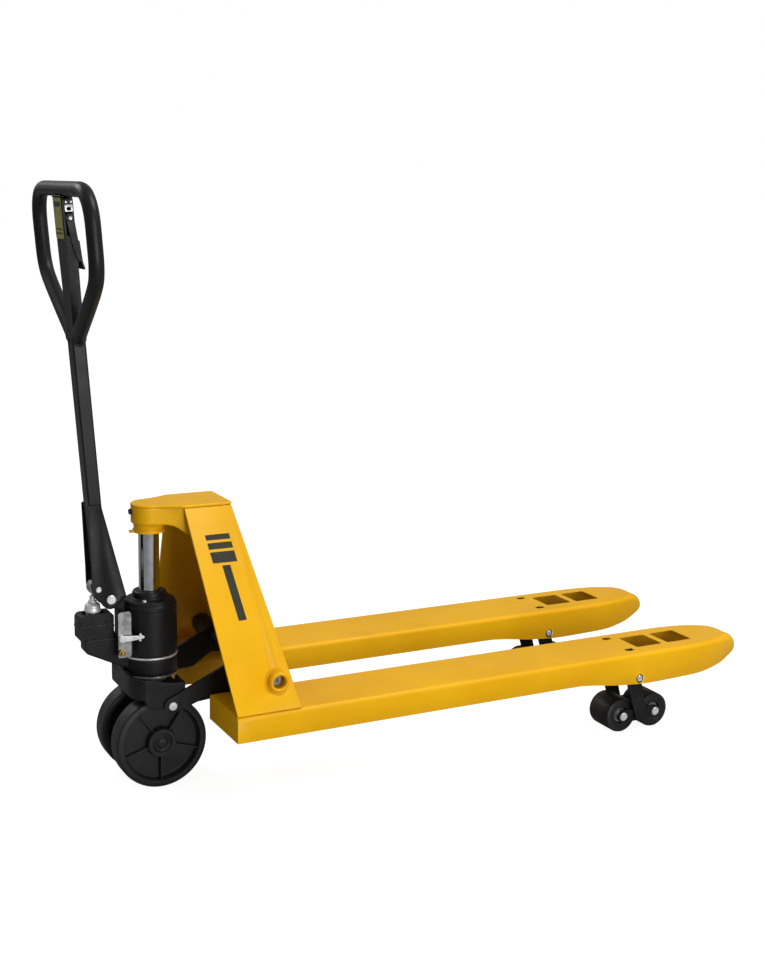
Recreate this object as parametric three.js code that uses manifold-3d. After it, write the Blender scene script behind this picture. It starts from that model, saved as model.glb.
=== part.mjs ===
// Hand pallet jack, shown with its forks raised.
// Millimetres, +Z up, +X towards the fork tips, +Y to the left of a person
// who stands at the handle and looks along the forks.
// Inside this file X = 0 is the steering axis and Z = 0 the floor; the whole
// assembly is shifted at the end, so that its box is centred on the origin.

import * as THREE from "three";
import { mergeVertices } from "three/addons/utils/BufferGeometryUtils.js";
import Module from "manifold-3d";

const wasm = await Module();
wasm.setup();

// ---------------------------------------------------------------- dimensions

const GAP = 0.3; // between neighbours that touch on the real object

// forks
const FORK_CENTRE = 190; // from the middle plane to the middle of a fork
const FORK_HALF = 80;
const FORK_WALL = 5;
const FORK_TOP = 208;
const FORK_PLATE = 4.5;
const FORK_BOTTOM = 151.5;
const HEEL_X = 94;
const TIP_X = 1455;
const MAST_FOOT_X = 238;

// mast: two side plates leaning inwards and a plate between their load edges
const HEAD_HALF = 59.6;
const HEAD_Z = 602;
const HEAD_REAR_X = 59;
const HEAD_FRONT_X = 165;
const MAST_PLATE = 5;
const MAST_FOOT_Z = 210;

// pump, ram and steered wheels
const STEER_RADIUS = 100;
const STEER_WIDTH = 50;
const STEER_CENTRE = 53;
const AXLE_R = 12;
const RAM_R = 22;
const TANK_R = 58;
const DISC_BOTTOM = 241;
const DISC_TOP = 283;
const TANK_TOP = 396;
const LUG_HALF = 19.4;
const PISTON_X = -124;
const PISTON_R = 6.2;

// bearing block
const BLOCK_REAR_X = -56;
const BLOCK_FRONT_X = 45;
const BLOCK_HALF = 98;
const BLOCK_BOTTOM = 206;
const BLOCK_TOP = 240;

// rocker and its pivots
const SHAFT_X = 193;
const SHAFT_Z = 264;
const SHAFT_R = 13.5;
const TRUNNION_X = 13;
const TRUNNION_Z = 191;
const ARM_INNER = 99;
const ARM_OUTER = 107;
const ROD_REAR = [217.1, 190];
const ROD_FRONT = [1134.1, 174.2];

// load rollers
const YOKE_X = 1110;
const YOKE_Z = 146;
const BOGIE_X = 1142;
const ROLLER_R = 41.5;
const ROLLER_HALF = 37.5;
const ROLLER_PITCH = 94;
const ROLLER_AXLE_R = 10;

// handle; its own frame has its origin on the pivot and Z along the bar
const PIVOT_X = -91;
const PIVOT_Z = 413;
const LEAN = THREE.MathUtils.degToRad(4.37);
const BAR_X = -13;
const BAR_HALF = 20;
const BAR_DEPTH = 28;
const BAR_BOTTOM = 78;
const STEM_BOTTOM = 540;
const STEM_TOP = 826;
const LOOP_TUBE_R = 15;
const LOOP_TOP = 842;
const CAM_X = -24.6;
const CAM_Z = 26.2;
const LEVER_PIN_X = -12;
const LEVER_PIN_Z = 786;

const CENTRE_X = 635.95; // middle of the whole object along X

// ----------------------------------------------------------------- materials

const finish = (color, roughness, metalness) =>
  new THREE.MeshStandardMaterial({ color, roughness, metalness });

const YELLOW = finish(0xf2b40f, 0.42, 0.0);
const BLACK = finish(0x1c1c1e, 0.5, 0.1);
const WHEEL = finish(0x19191b, 0.62, 0.0);
const ZINC = finish(0xb9bcbd, 0.35, 0.9);
const STEEL = finish(0x8b8d90, 0.4, 0.95);
const CHROME = finish(0xd4d8dc, 0.12, 1.0);
const BRASS = finish(0xb59a4c, 0.35, 0.95);
const LABEL = finish(0xe2dc2e, 0.5, 0.0);

// ------------------------------------------------------------ solid modelling

/** A closed manifold from a three.js geometry. */
function solid(geometry) {
  const bare = geometry.clone();
  bare.deleteAttribute("normal");
  bare.deleteAttribute("uv");
  const merged = mergeVertices(bare, 1e-4);
  const mesh = new wasm.Mesh({
    numProp: 3,
    vertProperties: new Float32Array(merged.attributes.position.array),
    triVerts: new Uint32Array(merged.index.array),
  });
  return new wasm.Manifold(mesh);
}

/** A three.js geometry from a manifold. */
function toGeometry(body) {
  const mesh = body.getMesh();
  const geometry = new THREE.BufferGeometry();
  geometry.setAttribute("position", new THREE.BufferAttribute(mesh.vertProperties, 3));
  geometry.setIndex(new THREE.BufferAttribute(mesh.triVerts, 1));
  geometry.computeVertexNormals();
  return geometry;
}

/** Several geometries joined into one solid. */
const join = (...parts) => parts.map(solid).reduce((a, b) => a.add(b));

/** A solid with several geometries cut out of it. */
const cut = (body, ...tools) => tools.map(solid).reduce((a, b) => a.subtract(b), body);

function box(x0, x1, y0, y1, z0, z1) {
  const geometry = new THREE.BoxGeometry(x1 - x0, y1 - y0, z1 - z0);
  return geometry.translate((x0 + x1) / 2, (y0 + y1) / 2, (z0 + z1) / 2);
}

/** A cylinder along Y between y0 and y1, round (x, z). */
function rodY(x, z, radius, y0, y1, sides = 12) {
  const geometry = new THREE.CylinderGeometry(radius, radius, y1 - y0, sides);
  return geometry.translate(x, (y0 + y1) / 2, z);
}

/** A cylinder along Z between z0 and z1, round (x, y). */
function rodZ(x, y, radius, z0, z1, sides = 24) {
  const geometry = new THREE.CylinderGeometry(radius, radius, z1 - z0, sides);
  geometry.rotateX(Math.PI / 2);
  return geometry.translate(x, y, (z0 + z1) / 2);
}

/** A profile of [radius, z] points turned about the Z axis at (x, y). */
function turned(profile, x = 0, y = 0, sides = 24) {
  const points = profile.map(([r, z]) => new THREE.Vector2(r, z));
  points.push(points[0].clone());
  const geometry = new THREE.LatheGeometry(points, sides);
  geometry.rotateX(Math.PI / 2);
  return geometry.translate(x, y, 0);
}

/** An outline in X and Z, as thick as from y0 to y1. */
function slabY(outline, y0, y1, curveSegments = 6) {
  const shape = outline instanceof THREE.Shape ? outline : polygon(outline);
  const geometry = new THREE.ExtrudeGeometry(shape, {
    depth: y1 - y0,
    bevelEnabled: false,
    curveSegments,
  });
  geometry.rotateX(Math.PI / 2);
  return geometry.translate(0, y1, 0);
}

/** An outline in X and Y, as thick as from z0 to z1. */
function slabZ(outline, z0, z1, curveSegments = 6) {
  const shape = outline instanceof THREE.Shape ? outline : polygon(outline);
  const geometry = new THREE.ExtrudeGeometry(shape, {
    depth: z1 - z0,
    bevelEnabled: false,
    curveSegments,
  });
  return geometry.translate(0, 0, z0);
}

function polygon(points) {
  return new THREE.Shape(points.map(([a, b]) => new THREE.Vector2(a, b)));
}

/** The belt round two circles: a bar with two round ends of its own radii. */
function belt(x0, z0, r0, x1, z1, r1) {
  const along = Math.atan2(z1 - z0, x1 - x0);
  const flare = Math.acos((r0 - r1) / Math.hypot(x1 - x0, z1 - z0));
  const shape = new THREE.Shape();
  shape.absarc(x0, z0, r0, along + flare, along - flare + 2 * Math.PI, false);
  shape.absarc(x1, z1, r1, along - flare, along + flare, false);
  return shape;
}

/** A geometry reflected in the middle plane, with its faces still outwards. */
function mirrored(geometry) {
  const copy = geometry.clone();
  const position = copy.attributes.position;
  for (let i = 0; i < position.count; i += 1) {
    position.setY(i, -position.getY(i));
  }
  const index = copy.index.array;
  for (let i = 0; i < index.length; i += 3) {
    [index[i], index[i + 1]] = [index[i + 1], index[i]];
  }
  copy.computeVertexNormals();
  return copy;
}

const jack = new THREE.Group();
jack.position.x = -CENTRE_X;

/** Adds one named piece to a group and returns it. */
function addPiece(name, body, material, group = jack) {
  const geometry = body instanceof THREE.BufferGeometry ? body : toGeometry(body);
  const mesh = new THREE.Mesh(geometry, material);
  mesh.name = name;
  group.add(mesh);
  return mesh;
}

/** Adds a left piece (+Y) and its mirror image on the right. */
function addPair(stem, body, material) {
  const geometry = body instanceof THREE.BufferGeometry ? body : toGeometry(body);
  addPiece(`${stem}_left`, geometry, material);
  addPiece(`${stem}_right`, mirrored(geometry), material);
}

// --------------------------------------------------------------------- frame

/** Filled fork body: rounded top edges, pointed tip, sloping nose and belly. */
function forkBlank(inset, floor) {
  const half = FORK_HALF - inset;
  const heel = HEEL_X + inset;
  const top = FORK_TOP - (inset > 0 ? FORK_PLATE : 0);
  const round = inset > 0 ? 4 : 9;
  const section = new THREE.Shape();
  section.moveTo(-half, 100);
  section.lineTo(half, 100);
  section.lineTo(half, top - round);
  section.absarc(half - round, top - round, round, 0, Math.PI / 2, false);
  section.lineTo(-half + round, top);
  section.absarc(-half + round, top - round, round, Math.PI / 2, Math.PI, false);
  const length = TIP_X - HEEL_X + 20;
  const bar = new THREE.ExtrudeGeometry(section, {
    depth: length,
    bevelEnabled: false,
    curveSegments: 4,
  });
  bar.rotateX(Math.PI / 2).rotateZ(Math.PI / 2);
  bar.translate(HEEL_X - 10, FORK_CENTRE, 0);

  const tip = TIP_X - inset;
  const plan = new THREE.Shape();
  plan.moveTo(heel, -half);
  plan.lineTo(1250, -half);
  plan.quadraticCurveTo(1345, -half + 3, 1400, -half + 32);
  plan.quadraticCurveTo(tip - 4, -half + 50, tip, 0);
  plan.quadraticCurveTo(tip - 4, half - 50, 1400, half - 32);
  plan.quadraticCurveTo(1345, half - 3, 1250, half);
  plan.lineTo(heel, half);
  const outline = slabZ(plan, 90, 230, 6).translate(0, FORK_CENTRE, 0);

  const side = polygon([
    [heel, FORK_BOTTOM - floor],
    [952, FORK_BOTTOM - floor],
    [1052, 137 - floor],
    [1140, 131 - floor],
    [1299, 135 - floor],
    [1377, 146 - floor],
    [tip, 166 - floor],
    [tip + 5, 190],
    [tip - 12, FORK_TOP - 10],
    [tip - 60, FORK_TOP + 2],
    [heel, FORK_TOP + 2],
  ]);
  const profile = slabY(side, FORK_CENTRE - 100, FORK_CENTRE + 100);
  return solid(bar).intersect(solid(outline)).intersect(solid(profile));
}

/** A box-section fork, closed at the heel and open underneath. */
function forkShell() {
  const hollow = forkBlank(FORK_WALL, 40);
  const window = (x0, x1) => box(x0, x1, FORK_CENTRE - 37, FORK_CENTRE + 37, 195, 220);
  const slot = (y) => box(1098, 1107, y - 12, y + 12, 195, 220);
  return cut(
    forkBlank(0, 0).subtract(hollow),
    window(1130.6, 1204),
    window(1221.2, 1292.4),
    slot(FORK_CENTRE - 45),
    slot(FORK_CENTRE + 45),
    box(150, 234, FORK_CENTRE - 40, FORK_CENTRE + 40, 195, 220),
    rodY(YOKE_X, YOKE_Z, 8.4, FORK_CENTRE - 90, FORK_CENTRE + 90),
  );
}

/** Leaning side plate with the boss that holds the end of the rocker shaft. */
function sidePlate() {
  const run = 2 * FORK_HALF + (FORK_CENTRE - FORK_HALF) - HEAD_HALF;
  const rise = HEAD_Z - MAST_FOOT_Z;
  const slant = Math.hypot(run, rise);
  const outline = polygon([
    [HEEL_X, 0],
    [MAST_FOOT_X, 0],
    [HEAD_FRONT_X, slant],
    [HEAD_REAR_X, slant],
  ]);
  const plate = new THREE.ExtrudeGeometry(outline, { depth: MAST_PLATE, bevelEnabled: false });
  const up = new THREE.Vector3(0, -run / slant, rise / slant);
  const along = new THREE.Vector3(1, 0, 0);
  const inward = new THREE.Vector3().crossVectors(along, up);
  const place = new THREE.Matrix4().makeBasis(along, up, inward);
  place.setPosition(0, FORK_CENTRE + FORK_HALF, MAST_FOOT_Z);
  plate.applyMatrix4(place);
  const boss = rodY(SHAFT_X, SHAFT_Z, 19, 229, 256, 24);
  const bore = rodY(SHAFT_X, SHAFT_Z, 14, 200, 300, 24);
  return cut(join(plate, boss), bore);
}

/** Plate between the load edges of the two side plates. */
function backrestPlate() {
  const lean = MAST_FOOT_X - HEAD_FRONT_X;
  const rise = HEAD_Z - MAST_FOOT_Z;
  const slant = Math.hypot(lean, rise);
  const foot = 4;
  const outer = FORK_CENTRE + FORK_HALF;
  const half = (w) => outer - ((outer - HEAD_HALF) * w) / slant - 6.6;
  const outline = polygon([
    [-half(foot), foot],
    [half(foot), foot],
    [half(slant - 1), slant - 1],
    [-half(slant - 1), slant - 1],
  ]);
  const plate = new THREE.ExtrudeGeometry(outline, { depth: MAST_PLATE, bevelEnabled: false });
  const across = new THREE.Vector3(0, -1, 0);
  const up = new THREE.Vector3(-lean / slant, 0, rise / slant);
  const rearward = new THREE.Vector3().crossVectors(across, up);
  const place = new THREE.Matrix4().makeBasis(across, up, rearward);
  place.setPosition(MAST_FOOT_X, 0, MAST_FOOT_Z);
  return plate.applyMatrix4(place);
}

/** Plan of the head: round nose over the ram, flaring out to the side plates. */
function headPlan(nose, half, rear, front) {
  const shape = new THREE.Shape();
  shape.moveTo(front, -half);
  shape.lineTo(front, half);
  shape.lineTo(rear, half);
  shape.quadraticCurveTo(25, nose + 4, 0, nose);
  shape.absarc(0, 0, nose, Math.PI / 2, 1.5 * Math.PI, false);
  shape.quadraticCurveTo(25, -nose - 4, rear, -half);
  return shape;
}

/** Head casting: the arm from the mast and the cup that sits on the ram. */
function ramCup() {
  const arm = slabZ(headPlan(36, 50, 52, 95), 568, HEAD_Z - GAP, 6);
  const cup = rodZ(0, 0, 31, 552, 570);
  const flange = rodZ(0, 0, 34, 547, 553);
  const socket = rodZ(0, 0, RAM_R + GAP, 540, 590);
  return cut(join(arm, cup, flange), socket);
}

function buildFrame() {
  addPair("fork", forkShell(), YELLOW);
  addPair("side_plate", sidePlate(), YELLOW);
  addPiece("backrest_plate", backrestPlate(), YELLOW);
  const lid = slabZ(headPlan(37, HEAD_HALF + 1, HEAD_REAR_X, HEAD_FRONT_X + 1), HEAD_Z + 0.6, 609, 6);
  addPiece("top_plate", lid, YELLOW);
  addPiece("ram_cup", ramCup(), YELLOW);
  addPiece("ram", rodZ(0, 0, RAM_R, 330, 589.5), CHROME);
  addPiece("cup_bolt", cupBolt(), STEEL);
  addPiece("torque_shaft", rodY(SHAFT_X, SHAFT_Z, SHAFT_R, -236, 236, 20), STEEL);
  const half = FORK_HALF - 0.3;
  addPair("yoke_pin", rodY(YOKE_X, YOKE_Z, 8, FORK_CENTRE - half, FORK_CENTRE + half), ZINC);
}

/** Hexagon-headed bolt on the nose of the head. */
function cupBolt() {
  const head = new THREE.CylinderGeometry(6.5, 6.5, 5, 6);
  head.rotateZ(Math.PI / 2);
  return head.translate(-40, 0, 592);
}

// -------------------------------------------------------------------- rocker

/** Flat arm from the trunnion to the torque shaft. */
function rockerArm() {
  const lobe = belt(TRUNNION_X, TRUNNION_Z, 17, SHAFT_X, SHAFT_Z, 26);
  const web = polygon([
    [22, 180],
    [62, 192],
    [134, 198],
    [196, 240],
    [186, 288],
    [118, 251],
    [30, 216],
  ]);
  return cut(
    join(slabY(lobe, ARM_INNER, ARM_OUTER, 5), slabY(web, ARM_INNER, ARM_OUTER)),
    rodY(TRUNNION_X, TRUNNION_Z, 8, 90, 115),
    rodY(SHAFT_X, SHAFT_Z, 22.3, 90, 115, 20),
  );
}

/** Tube round the torque shaft with a clevis over each fork for the push rod. */
function rockerTube() {
  const tube = rodY(SHAFT_X, SHAFT_Z, 22, -206, 206, 20);
  const lugs = [];
  for (const side of [-1, 1]) {
    for (const offset of [-9.6, 9.6]) {
      const y = side * FORK_CENTRE + offset;
      const lug = belt(SHAFT_X, SHAFT_Z, 21, ROD_REAR[0], ROD_REAR[1], 13);
      lugs.push(slabY(lug, y - 3, y + 3, 3));
    }
  }
  const pins = [-1, 1].map((side) =>
    rodY(ROD_REAR[0], ROD_REAR[1], 6.4, side * FORK_CENTRE - 20, side * FORK_CENTRE + 20, 16),
  );
  const bore = rodY(SHAFT_X, SHAFT_Z, SHAFT_R + 0.4, -220, 220, 20);
  return cut(join(tube, ...lugs), bore, ...pins);
}

/** Pin head and shank at the operator end of a rocker arm. */
function trunnionPin() {
  const shank = rodY(TRUNNION_X, TRUNNION_Z, 7.6, ARM_INNER, ARM_OUTER + 1, 20);
  const head = rodY(TRUNNION_X, TRUNNION_Z, 9, ARM_OUTER + GAP, ARM_OUTER + 2.4, 20);
  return join(shank, head);
}

/** Long bar from the rocker to the roller yoke; its front eye is slotted. */
function pushRod() {
  const [rearX, rearZ] = ROD_REAR;
  const [frontX, frontZ] = ROD_FRONT;
  const bar = belt(rearX, rearZ, 12, frontX, frontZ, 12);
  const eye = belt(frontX, frontZ - 1, 11.2, frontX, frontZ + 13, 13);
  const slot = belt(frontX, frontZ - 1, 7.8, frontX, frontZ + 13.5, 7.8);
  const y0 = FORK_CENTRE - 6;
  const y1 = FORK_CENTRE + 6;
  const pin = rodY(rearX, rearZ, 6, FORK_CENTRE - 14, FORK_CENTRE + 14, 16);
  const body = cut(join(slabY(bar, y0, y1, 4), slabY(eye, y0, y1, 4)), slabY(slot, y0 - 5, y1 + 5, 4));
  return body.add(solid(pin));
}

function buildRocker() {
  addPair("rocker_arm", rockerArm(), BLACK);
  addPiece("rocker_tube", rockerTube(), BLACK);
  addPair("trunnion_pin", trunnionPin(), ZINC);
  addPair("push_rod", pushRod(), STEEL);
}

// -------------------------------------------------------------- load rollers

/** Bell crank that carries a bogie below its pivot and a clevis above it. */
function loadYoke() {
  const y = FORK_CENTRE;
  const parts = [rodY(YOKE_X, YOKE_Z, 11.4, y - 70, y + 70)];
  for (const side of [-1, 1]) {
    const inner = y + side * 48.4;
    const outer = y + side * 54.4;
    const arm = belt(YOKE_X, YOKE_Z, 16, BOGIE_X, ROLLER_R, 13);
    parts.push(slabY(arm, Math.min(inner, outer), Math.max(inner, outer), 3));
    const lug = belt(YOKE_X, YOKE_Z, 13, ROD_FRONT[0], ROD_FRONT[1], 11);
    parts.push(slabY(lug, y + side * 9.6 - 3, y + side * 9.6 + 3, 3));
    const stub = y + side * 39;
    parts.push(rodY(BOGIE_X, ROLLER_R, 7, Math.min(stub, outer), Math.max(stub, outer), 16));
  }
  parts.push(rodY(ROD_FRONT[0], ROD_FRONT[1], 6, y - 12, y + 12, 16));
  return cut(join(...parts), rodY(YOKE_X, YOKE_Z, 8.5, y - 80, y + 80));
}

/** Two plates and the block between the rollers that ties them together. */
function bogieFrame() {
  const y = FORK_CENTRE;
  const reach = ROLLER_PITCH / 2;
  const parts = [];
  for (const side of [-1, 1]) {
    const a = y + side * 40;
    const b = y + side * 47;
    const plate = belt(BOGIE_X - reach, ROLLER_R, 17, BOGIE_X + reach, ROLLER_R, 17);
    parts.push(slabY(plate, Math.min(a, b), Math.max(a, b), 4));
  }
  parts.push(box(BOGIE_X - 3.5, BOGIE_X + 3.5, y - 41, y + 41, ROLLER_R + 8.4, ROLLER_R + 16));
  const holes = [-1, 1].map((side) =>
    rodY(BOGIE_X + side * reach, ROLLER_R, ROLLER_AXLE_R + GAP, y - 60, y + 60),
  );
  const pinHole = rodY(BOGIE_X, ROLLER_R, 7.6, y - 60, y + 60);
  return cut(join(...parts), ...holes, pinHole);
}

/** Load roller: plastic tread with a stepped hub recess at each end. */
function loadRoller(x) {
  const h = ROLLER_HALF;
  const profile = [
    [ROLLER_AXLE_R + 0.5, -h + 5],
    [20, -h + 5],
    [20, -h],
    [ROLLER_R - 3, -h],
    [ROLLER_R, -h + 3],
    [ROLLER_R, h - 3],
    [ROLLER_R - 3, h],
    [20, h],
    [20, h - 5],
    [ROLLER_AXLE_R + 0.5, h - 5],
  ];
  const roller = turned(profile, 0, 0, 18);
  roller.rotateX(-Math.PI / 2);
  return roller.translate(x, FORK_CENTRE, ROLLER_R);
}

function buildLoadRollers() {
  addPair("load_yoke", loadYoke(), BLACK);
  addPair("bogie", bogieFrame(), BLACK);
  for (const [end, side] of [["rear", -1], ["front", 1]]) {
    const x = BOGIE_X + (side * ROLLER_PITCH) / 2;
    const axle = rodY(x, ROLLER_R, ROLLER_AXLE_R, FORK_CENTRE - 47.8, FORK_CENTRE + 47.8);
    addPair(`${end}_roller_axle`, axle, ZINC);
    addPair(`${end}_roller`, loadRoller(x), WHEEL);
  }
}

// ------------------------------------------------------------- bearing block

/** Tray that wraps the pump's foot: floor, rim and an ear under each trunnion. */
function bearingBlock() {
  const plan = (inset, corner) => {
    const x0 = BLOCK_REAR_X + inset;
    const x1 = BLOCK_FRONT_X - inset;
    const y = BLOCK_HALF - inset;
    const shape = new THREE.Shape();
    shape.moveTo(x1, -y);
    shape.lineTo(x1, y);
    shape.lineTo(x0 + corner, y);
    shape.quadraticCurveTo(x0 + 5, y - 6, x0, y - corner - 12);
    shape.lineTo(x0, -y + corner + 12);
    shape.quadraticCurveTo(x0 + 5, -y + 6, x0 + corner, -y);
    return shape;
  };
  const shell = slabZ(plan(0, 26), BLOCK_BOTTOM, BLOCK_TOP, 8);
  const tray = slabZ(plan(8, 20), 222, BLOCK_TOP + 5, 8);
  const ears = [-1, 1].map((side) => {
    const a = side * 93.5;
    const b = side * BLOCK_HALF;
    const ear = belt(TRUNNION_X, TRUNNION_Z, 11, TRUNNION_X, 212, 14);
    return slabY(ear, Math.min(a, b), Math.max(a, b), 4);
  });
  return cut(
    join(shell, ...ears),
    tray,
    rodZ(0, 0, 31, 190, 230),
    rodY(TRUNNION_X, TRUNNION_Z, 7.6, -110, 110, 16),
  );
}

function buildBearingBlock() {
  addPiece("bearing_block", bearingBlock(), BLACK);
  const ring = [[30.6, 222.3], [36.4, 222.3], [36.4, 240.7], [30.6, 240.7]];
  addPiece("thrust_bearing", turned(ring), STEEL);
}

// ---------------------------------------------------------------------- pump

/** Pump casting: foot, ram cylinder, piston arm, handle lug and valve block. */
function pumpCasting() {
  const foot = rodZ(0, 0, TANK_R - 0.5, DISC_BOTTOM, DISC_TOP, 24);
  const spigot = rodZ(0, 0, 30, 202.5, DISC_BOTTOM + 1);
  const lug = box(-26, 26, -22, 22, 128, 204);
  const lugEnd = rodY(0, STEER_RADIUS, 26, -22, 22, 20);
  const lugSides = box(-26, 26, -22, 22, STEER_RADIUS, 130);
  const cylinder = rodZ(0, 0, 30, DISC_TOP - 1, TANK_TOP - 6);
  const arm = slabY(
    [[-146, 300], [-146, 328.7], [-58.8, 328.7], [-58.8, 283], [-40, 283], [-40, 258], [-74, 264]],
    -LUG_HALF,
    LUG_HALF,
  );
  const post = slabY(
    [[-72, 320], [-72, 392], [-96, 396], [-84, 429], [-58.8, 424], [-58.8, 320]],
    -LUG_HALF,
    LUG_HALF,
  );
  const eye = rodY(PIVOT_X, PIVOT_Z, 18, -LUG_HALF, LUG_HALF, 20);
  const valve = box(-83.6, -60, -45, -12, 296, 340);
  const body = join(foot, spigot, lug, lugEnd, lugSides, cylinder, arm, post, eye, valve);
  return cut(
    body,
    rodZ(0, 0, RAM_R + 0.5, 208, TANK_TOP + 30),
    rodY(0, STEER_RADIUS, AXLE_R + GAP, -40, 40),
    rodY(PIVOT_X, PIVOT_Z, 10.3, -40, 40, 20),
    rodZ(PISTON_X, 0, PISTON_R + 0.4, 304.5, 340, 20),
    rodY(-78, 334, 4.3, -60, -30, 16),
    rodY(-78, 304, 5.3, -60, -30, 16),
  );
}

/** Steered wheel: tread, web and hub in one moulding, with five ribs. */
function steerWheel() {
  const h = STEER_WIDTH / 2;
  const r = STEER_RADIUS;
  const profile = [
    [AXLE_R + 0.6, -h],
    [30, -h],
    [30, -12],
    [84, -12],
    [84, -h],
    [r - 8, -h],
    [r - 2.3, -h + 2.3],
    [r, -h + 8],
    [r, h - 8],
    [r - 2.3, h - 2.3],
    [r - 8, h],
    [84, h],
    [84, 4],
    [30, 4],
    [30, h],
    [21.2, h],
    [21.2, 13],
    [AXLE_R + 0.6, 13],
  ];
  const body = turned(profile, 0, 0, 28);
  body.rotateX(-Math.PI / 2);
  const ribs = [];
  for (let i = 0; i < 5; i += 1) {
    const rib = box(28, 86, 2, 17, -3, 3);
    ribs.push(rib.rotateY((i * 2 * Math.PI) / 5 - Math.PI / 2));
  }
  const wheel = toGeometry(join(body, ...ribs));
  return wheel.translate(0, STEER_CENTRE, STEER_RADIUS);
}

/** Hub cap with a shallow domed face. */
function hubCap() {
  const cap = turned([[0, 17], [20.6, 17], [20.6, 26], [16, 28.5], [0, 29.5]], 0, 0, 28);
  cap.rotateX(-Math.PI / 2).rotateZ(Math.PI);
  cap.rotateX(Math.PI);
  return cap.translate(0, STEER_CENTRE, STEER_RADIUS);
}

/** Block that the pump piston works in, with a stepped top. */
function pistonHousing() {
  const block = slabY(
    [[-158, 329], [-84, 329], [-84, 378], [-90, 383], [-152, 383], [-158, 376]],
    -LUG_HALF,
    LUG_HALF,
  );
  return cut(
    solid(block),
    rodZ(PISTON_X, 0, 18.2, 338.5, 400, 28),
    rodZ(PISTON_X, 0, PISTON_R + 0.4, 320, 350, 20),
    box(PISTON_X - 23, PISTON_X + 25, -12.6, 12.6, 371, 400),
  );
}

/** Domed cap over the piston's return spring. */
function springCap() {
  return turned(
    [[6.6, 386], [17.4, 386], [17.4, 392], [16.4, 399], [12, 403.5], [6.6, 405]],
    PISTON_X,
    0,
    24,
  );
}

/** Piston rod with the collar that holds the spring cap down. */
function pistonRod() {
  const rod = rodZ(PISTON_X, 0, PISTON_R, 352, 420.6, 20);
  const collar = rodZ(PISTON_X, 0, 9, 405.4, 408.4, 20);
  return join(rod, collar);
}

/** Release lever: a flat bar on the valve spindle. */
function releaseLever() {
  const bar = belt(-78, 334, 7, -34, 334, 3.6);
  const spindle = rodY(-78, 334, 4, -58, -40, 16);
  return join(slabY(bar, -58.5, -54.5, 8), spindle);
}

/** Zinc-plated plate beside the valve block. */
function releaseBracket() {
  const plate = slabY(
    [[-84, 291], [-56, 291], [-56, 386], [-60, 390], [-80, 390], [-84, 386]],
    -48.3,
    -45.3,
  );
  return cut(solid(plate), rodY(-78, 334, 4.6, -60, -40, 16), rodY(-78, 304, 5.6, -60, -40, 16));
}

/** Hexagonal brass fitting with a round spigot. */
function brassFitting() {
  return join(rodY(-78, 304, 7.6, -57, -48.6, 6), rodY(-78, 304, 5, -60, -40, 16));
}

function buildPump() {
  addPiece("pump_casting", pumpCasting(), BLACK);
  const wall = [[TANK_R - 4, DISC_TOP + GAP], [TANK_R, DISC_TOP + GAP], [TANK_R, TANK_TOP], [TANK_R - 4, TANK_TOP]];
  addPiece("reservoir_tank", turned(wall), BLACK);
  const gland = [
    [RAM_R + 0.5, TANK_TOP + GAP],
    [TANK_R - 0.4, TANK_TOP + GAP],
    [TANK_R - 6, TANK_TOP + 6],
    [36, TANK_TOP + 8],
    [36, 418],
    [34, 420],
    [RAM_R + 0.5, 420],
  ];
  addPiece("gland_cap", turned(gland), BLACK);
  addPiece("piston_housing", pistonHousing(), BLACK);
  addPiece("piston_rod", pistonRod(), ZINC);
  addPiece("spring_cap", springCap(), ZINC);
  addPiece("steer_axle", rodY(0, STEER_RADIUS, AXLE_R, -66, 66), STEEL);
  addPair("steer_wheel", steerWheel(), WHEEL);
  addPair("hub_cap", hubCap(), WHEEL);
  addPiece("handle_pivot_pin", rodY(PIVOT_X, PIVOT_Z, 10, -28.5, 28.5, 20), ZINC);
  addPiece("release_bracket", releaseBracket(), ZINC);
  addPiece("release_lever", releaseLever(), ZINC);
  addPiece("brass_fitting", brassFitting(), BRASS);
}

// -------------------------------------------------------------------- handle

/** Flared plate beside the draw bar that carries the two pins. */
function yokePlate(side) {
  const shape = new THREE.Shape();
  shape.moveTo(-30, 206);
  shape.lineTo(-35, 67);
  shape.lineTo(-37, 30);
  shape.lineTo(-33, 13);
  shape.lineTo(-17, -12);
  shape.quadraticCurveTo(-9, -22, 3, -20);
  shape.quadraticCurveTo(12, -17, 33, 0);
  shape.lineTo(33, 6);
  shape.lineTo(-2.5, 206);
  const a = side * (BAR_HALF + GAP);
  const b = side * (BAR_HALF + GAP + 5);
  return cut(
    solid(slabY(shape, Math.min(a, b), Math.max(a, b), 6)),
    rodY(0, 0, 10.4, -40, 40, 20),
    rodY(CAM_X, CAM_Z, 6.3, -40, 40, 20),
  );
}

/** Rectangular tube from the yoke plates to the grip. */
function drawBar() {
  const half = BAR_DEPTH / 2;
  const outer = box(BAR_X - half, BAR_X + half, -BAR_HALF, BAR_HALF, BAR_BOTTOM, STEM_BOTTOM - GAP);
  const inner = box(
    BAR_X - half + 3,
    BAR_X + half - 3,
    -BAR_HALF + 3,
    BAR_HALF - 3,
    BAR_BOTTOM - 5,
    STEM_BOTTOM + 5,
  );
  return cut(solid(outer), inner);
}

/** Outline of the stem in Y and Z, wider at the top. */
function stemOutline(inset, bottom, top) {
  const low = 22 - inset;
  const high = 32 - inset;
  return polygon([[-low, bottom], [low, bottom], [high, 740], [high, top], [-high, top], [-high, 740]]);
}

/** An outline in Y and Z, as thick as from x0 to x1. */
function slabX(shape, x0, x1) {
  const geometry = new THREE.ExtrudeGeometry(shape, { depth: x1 - x0, bevelEnabled: false });
  geometry.rotateX(Math.PI / 2).rotateZ(Math.PI / 2);
  return geometry.translate(x0, 0, 0);
}

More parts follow.
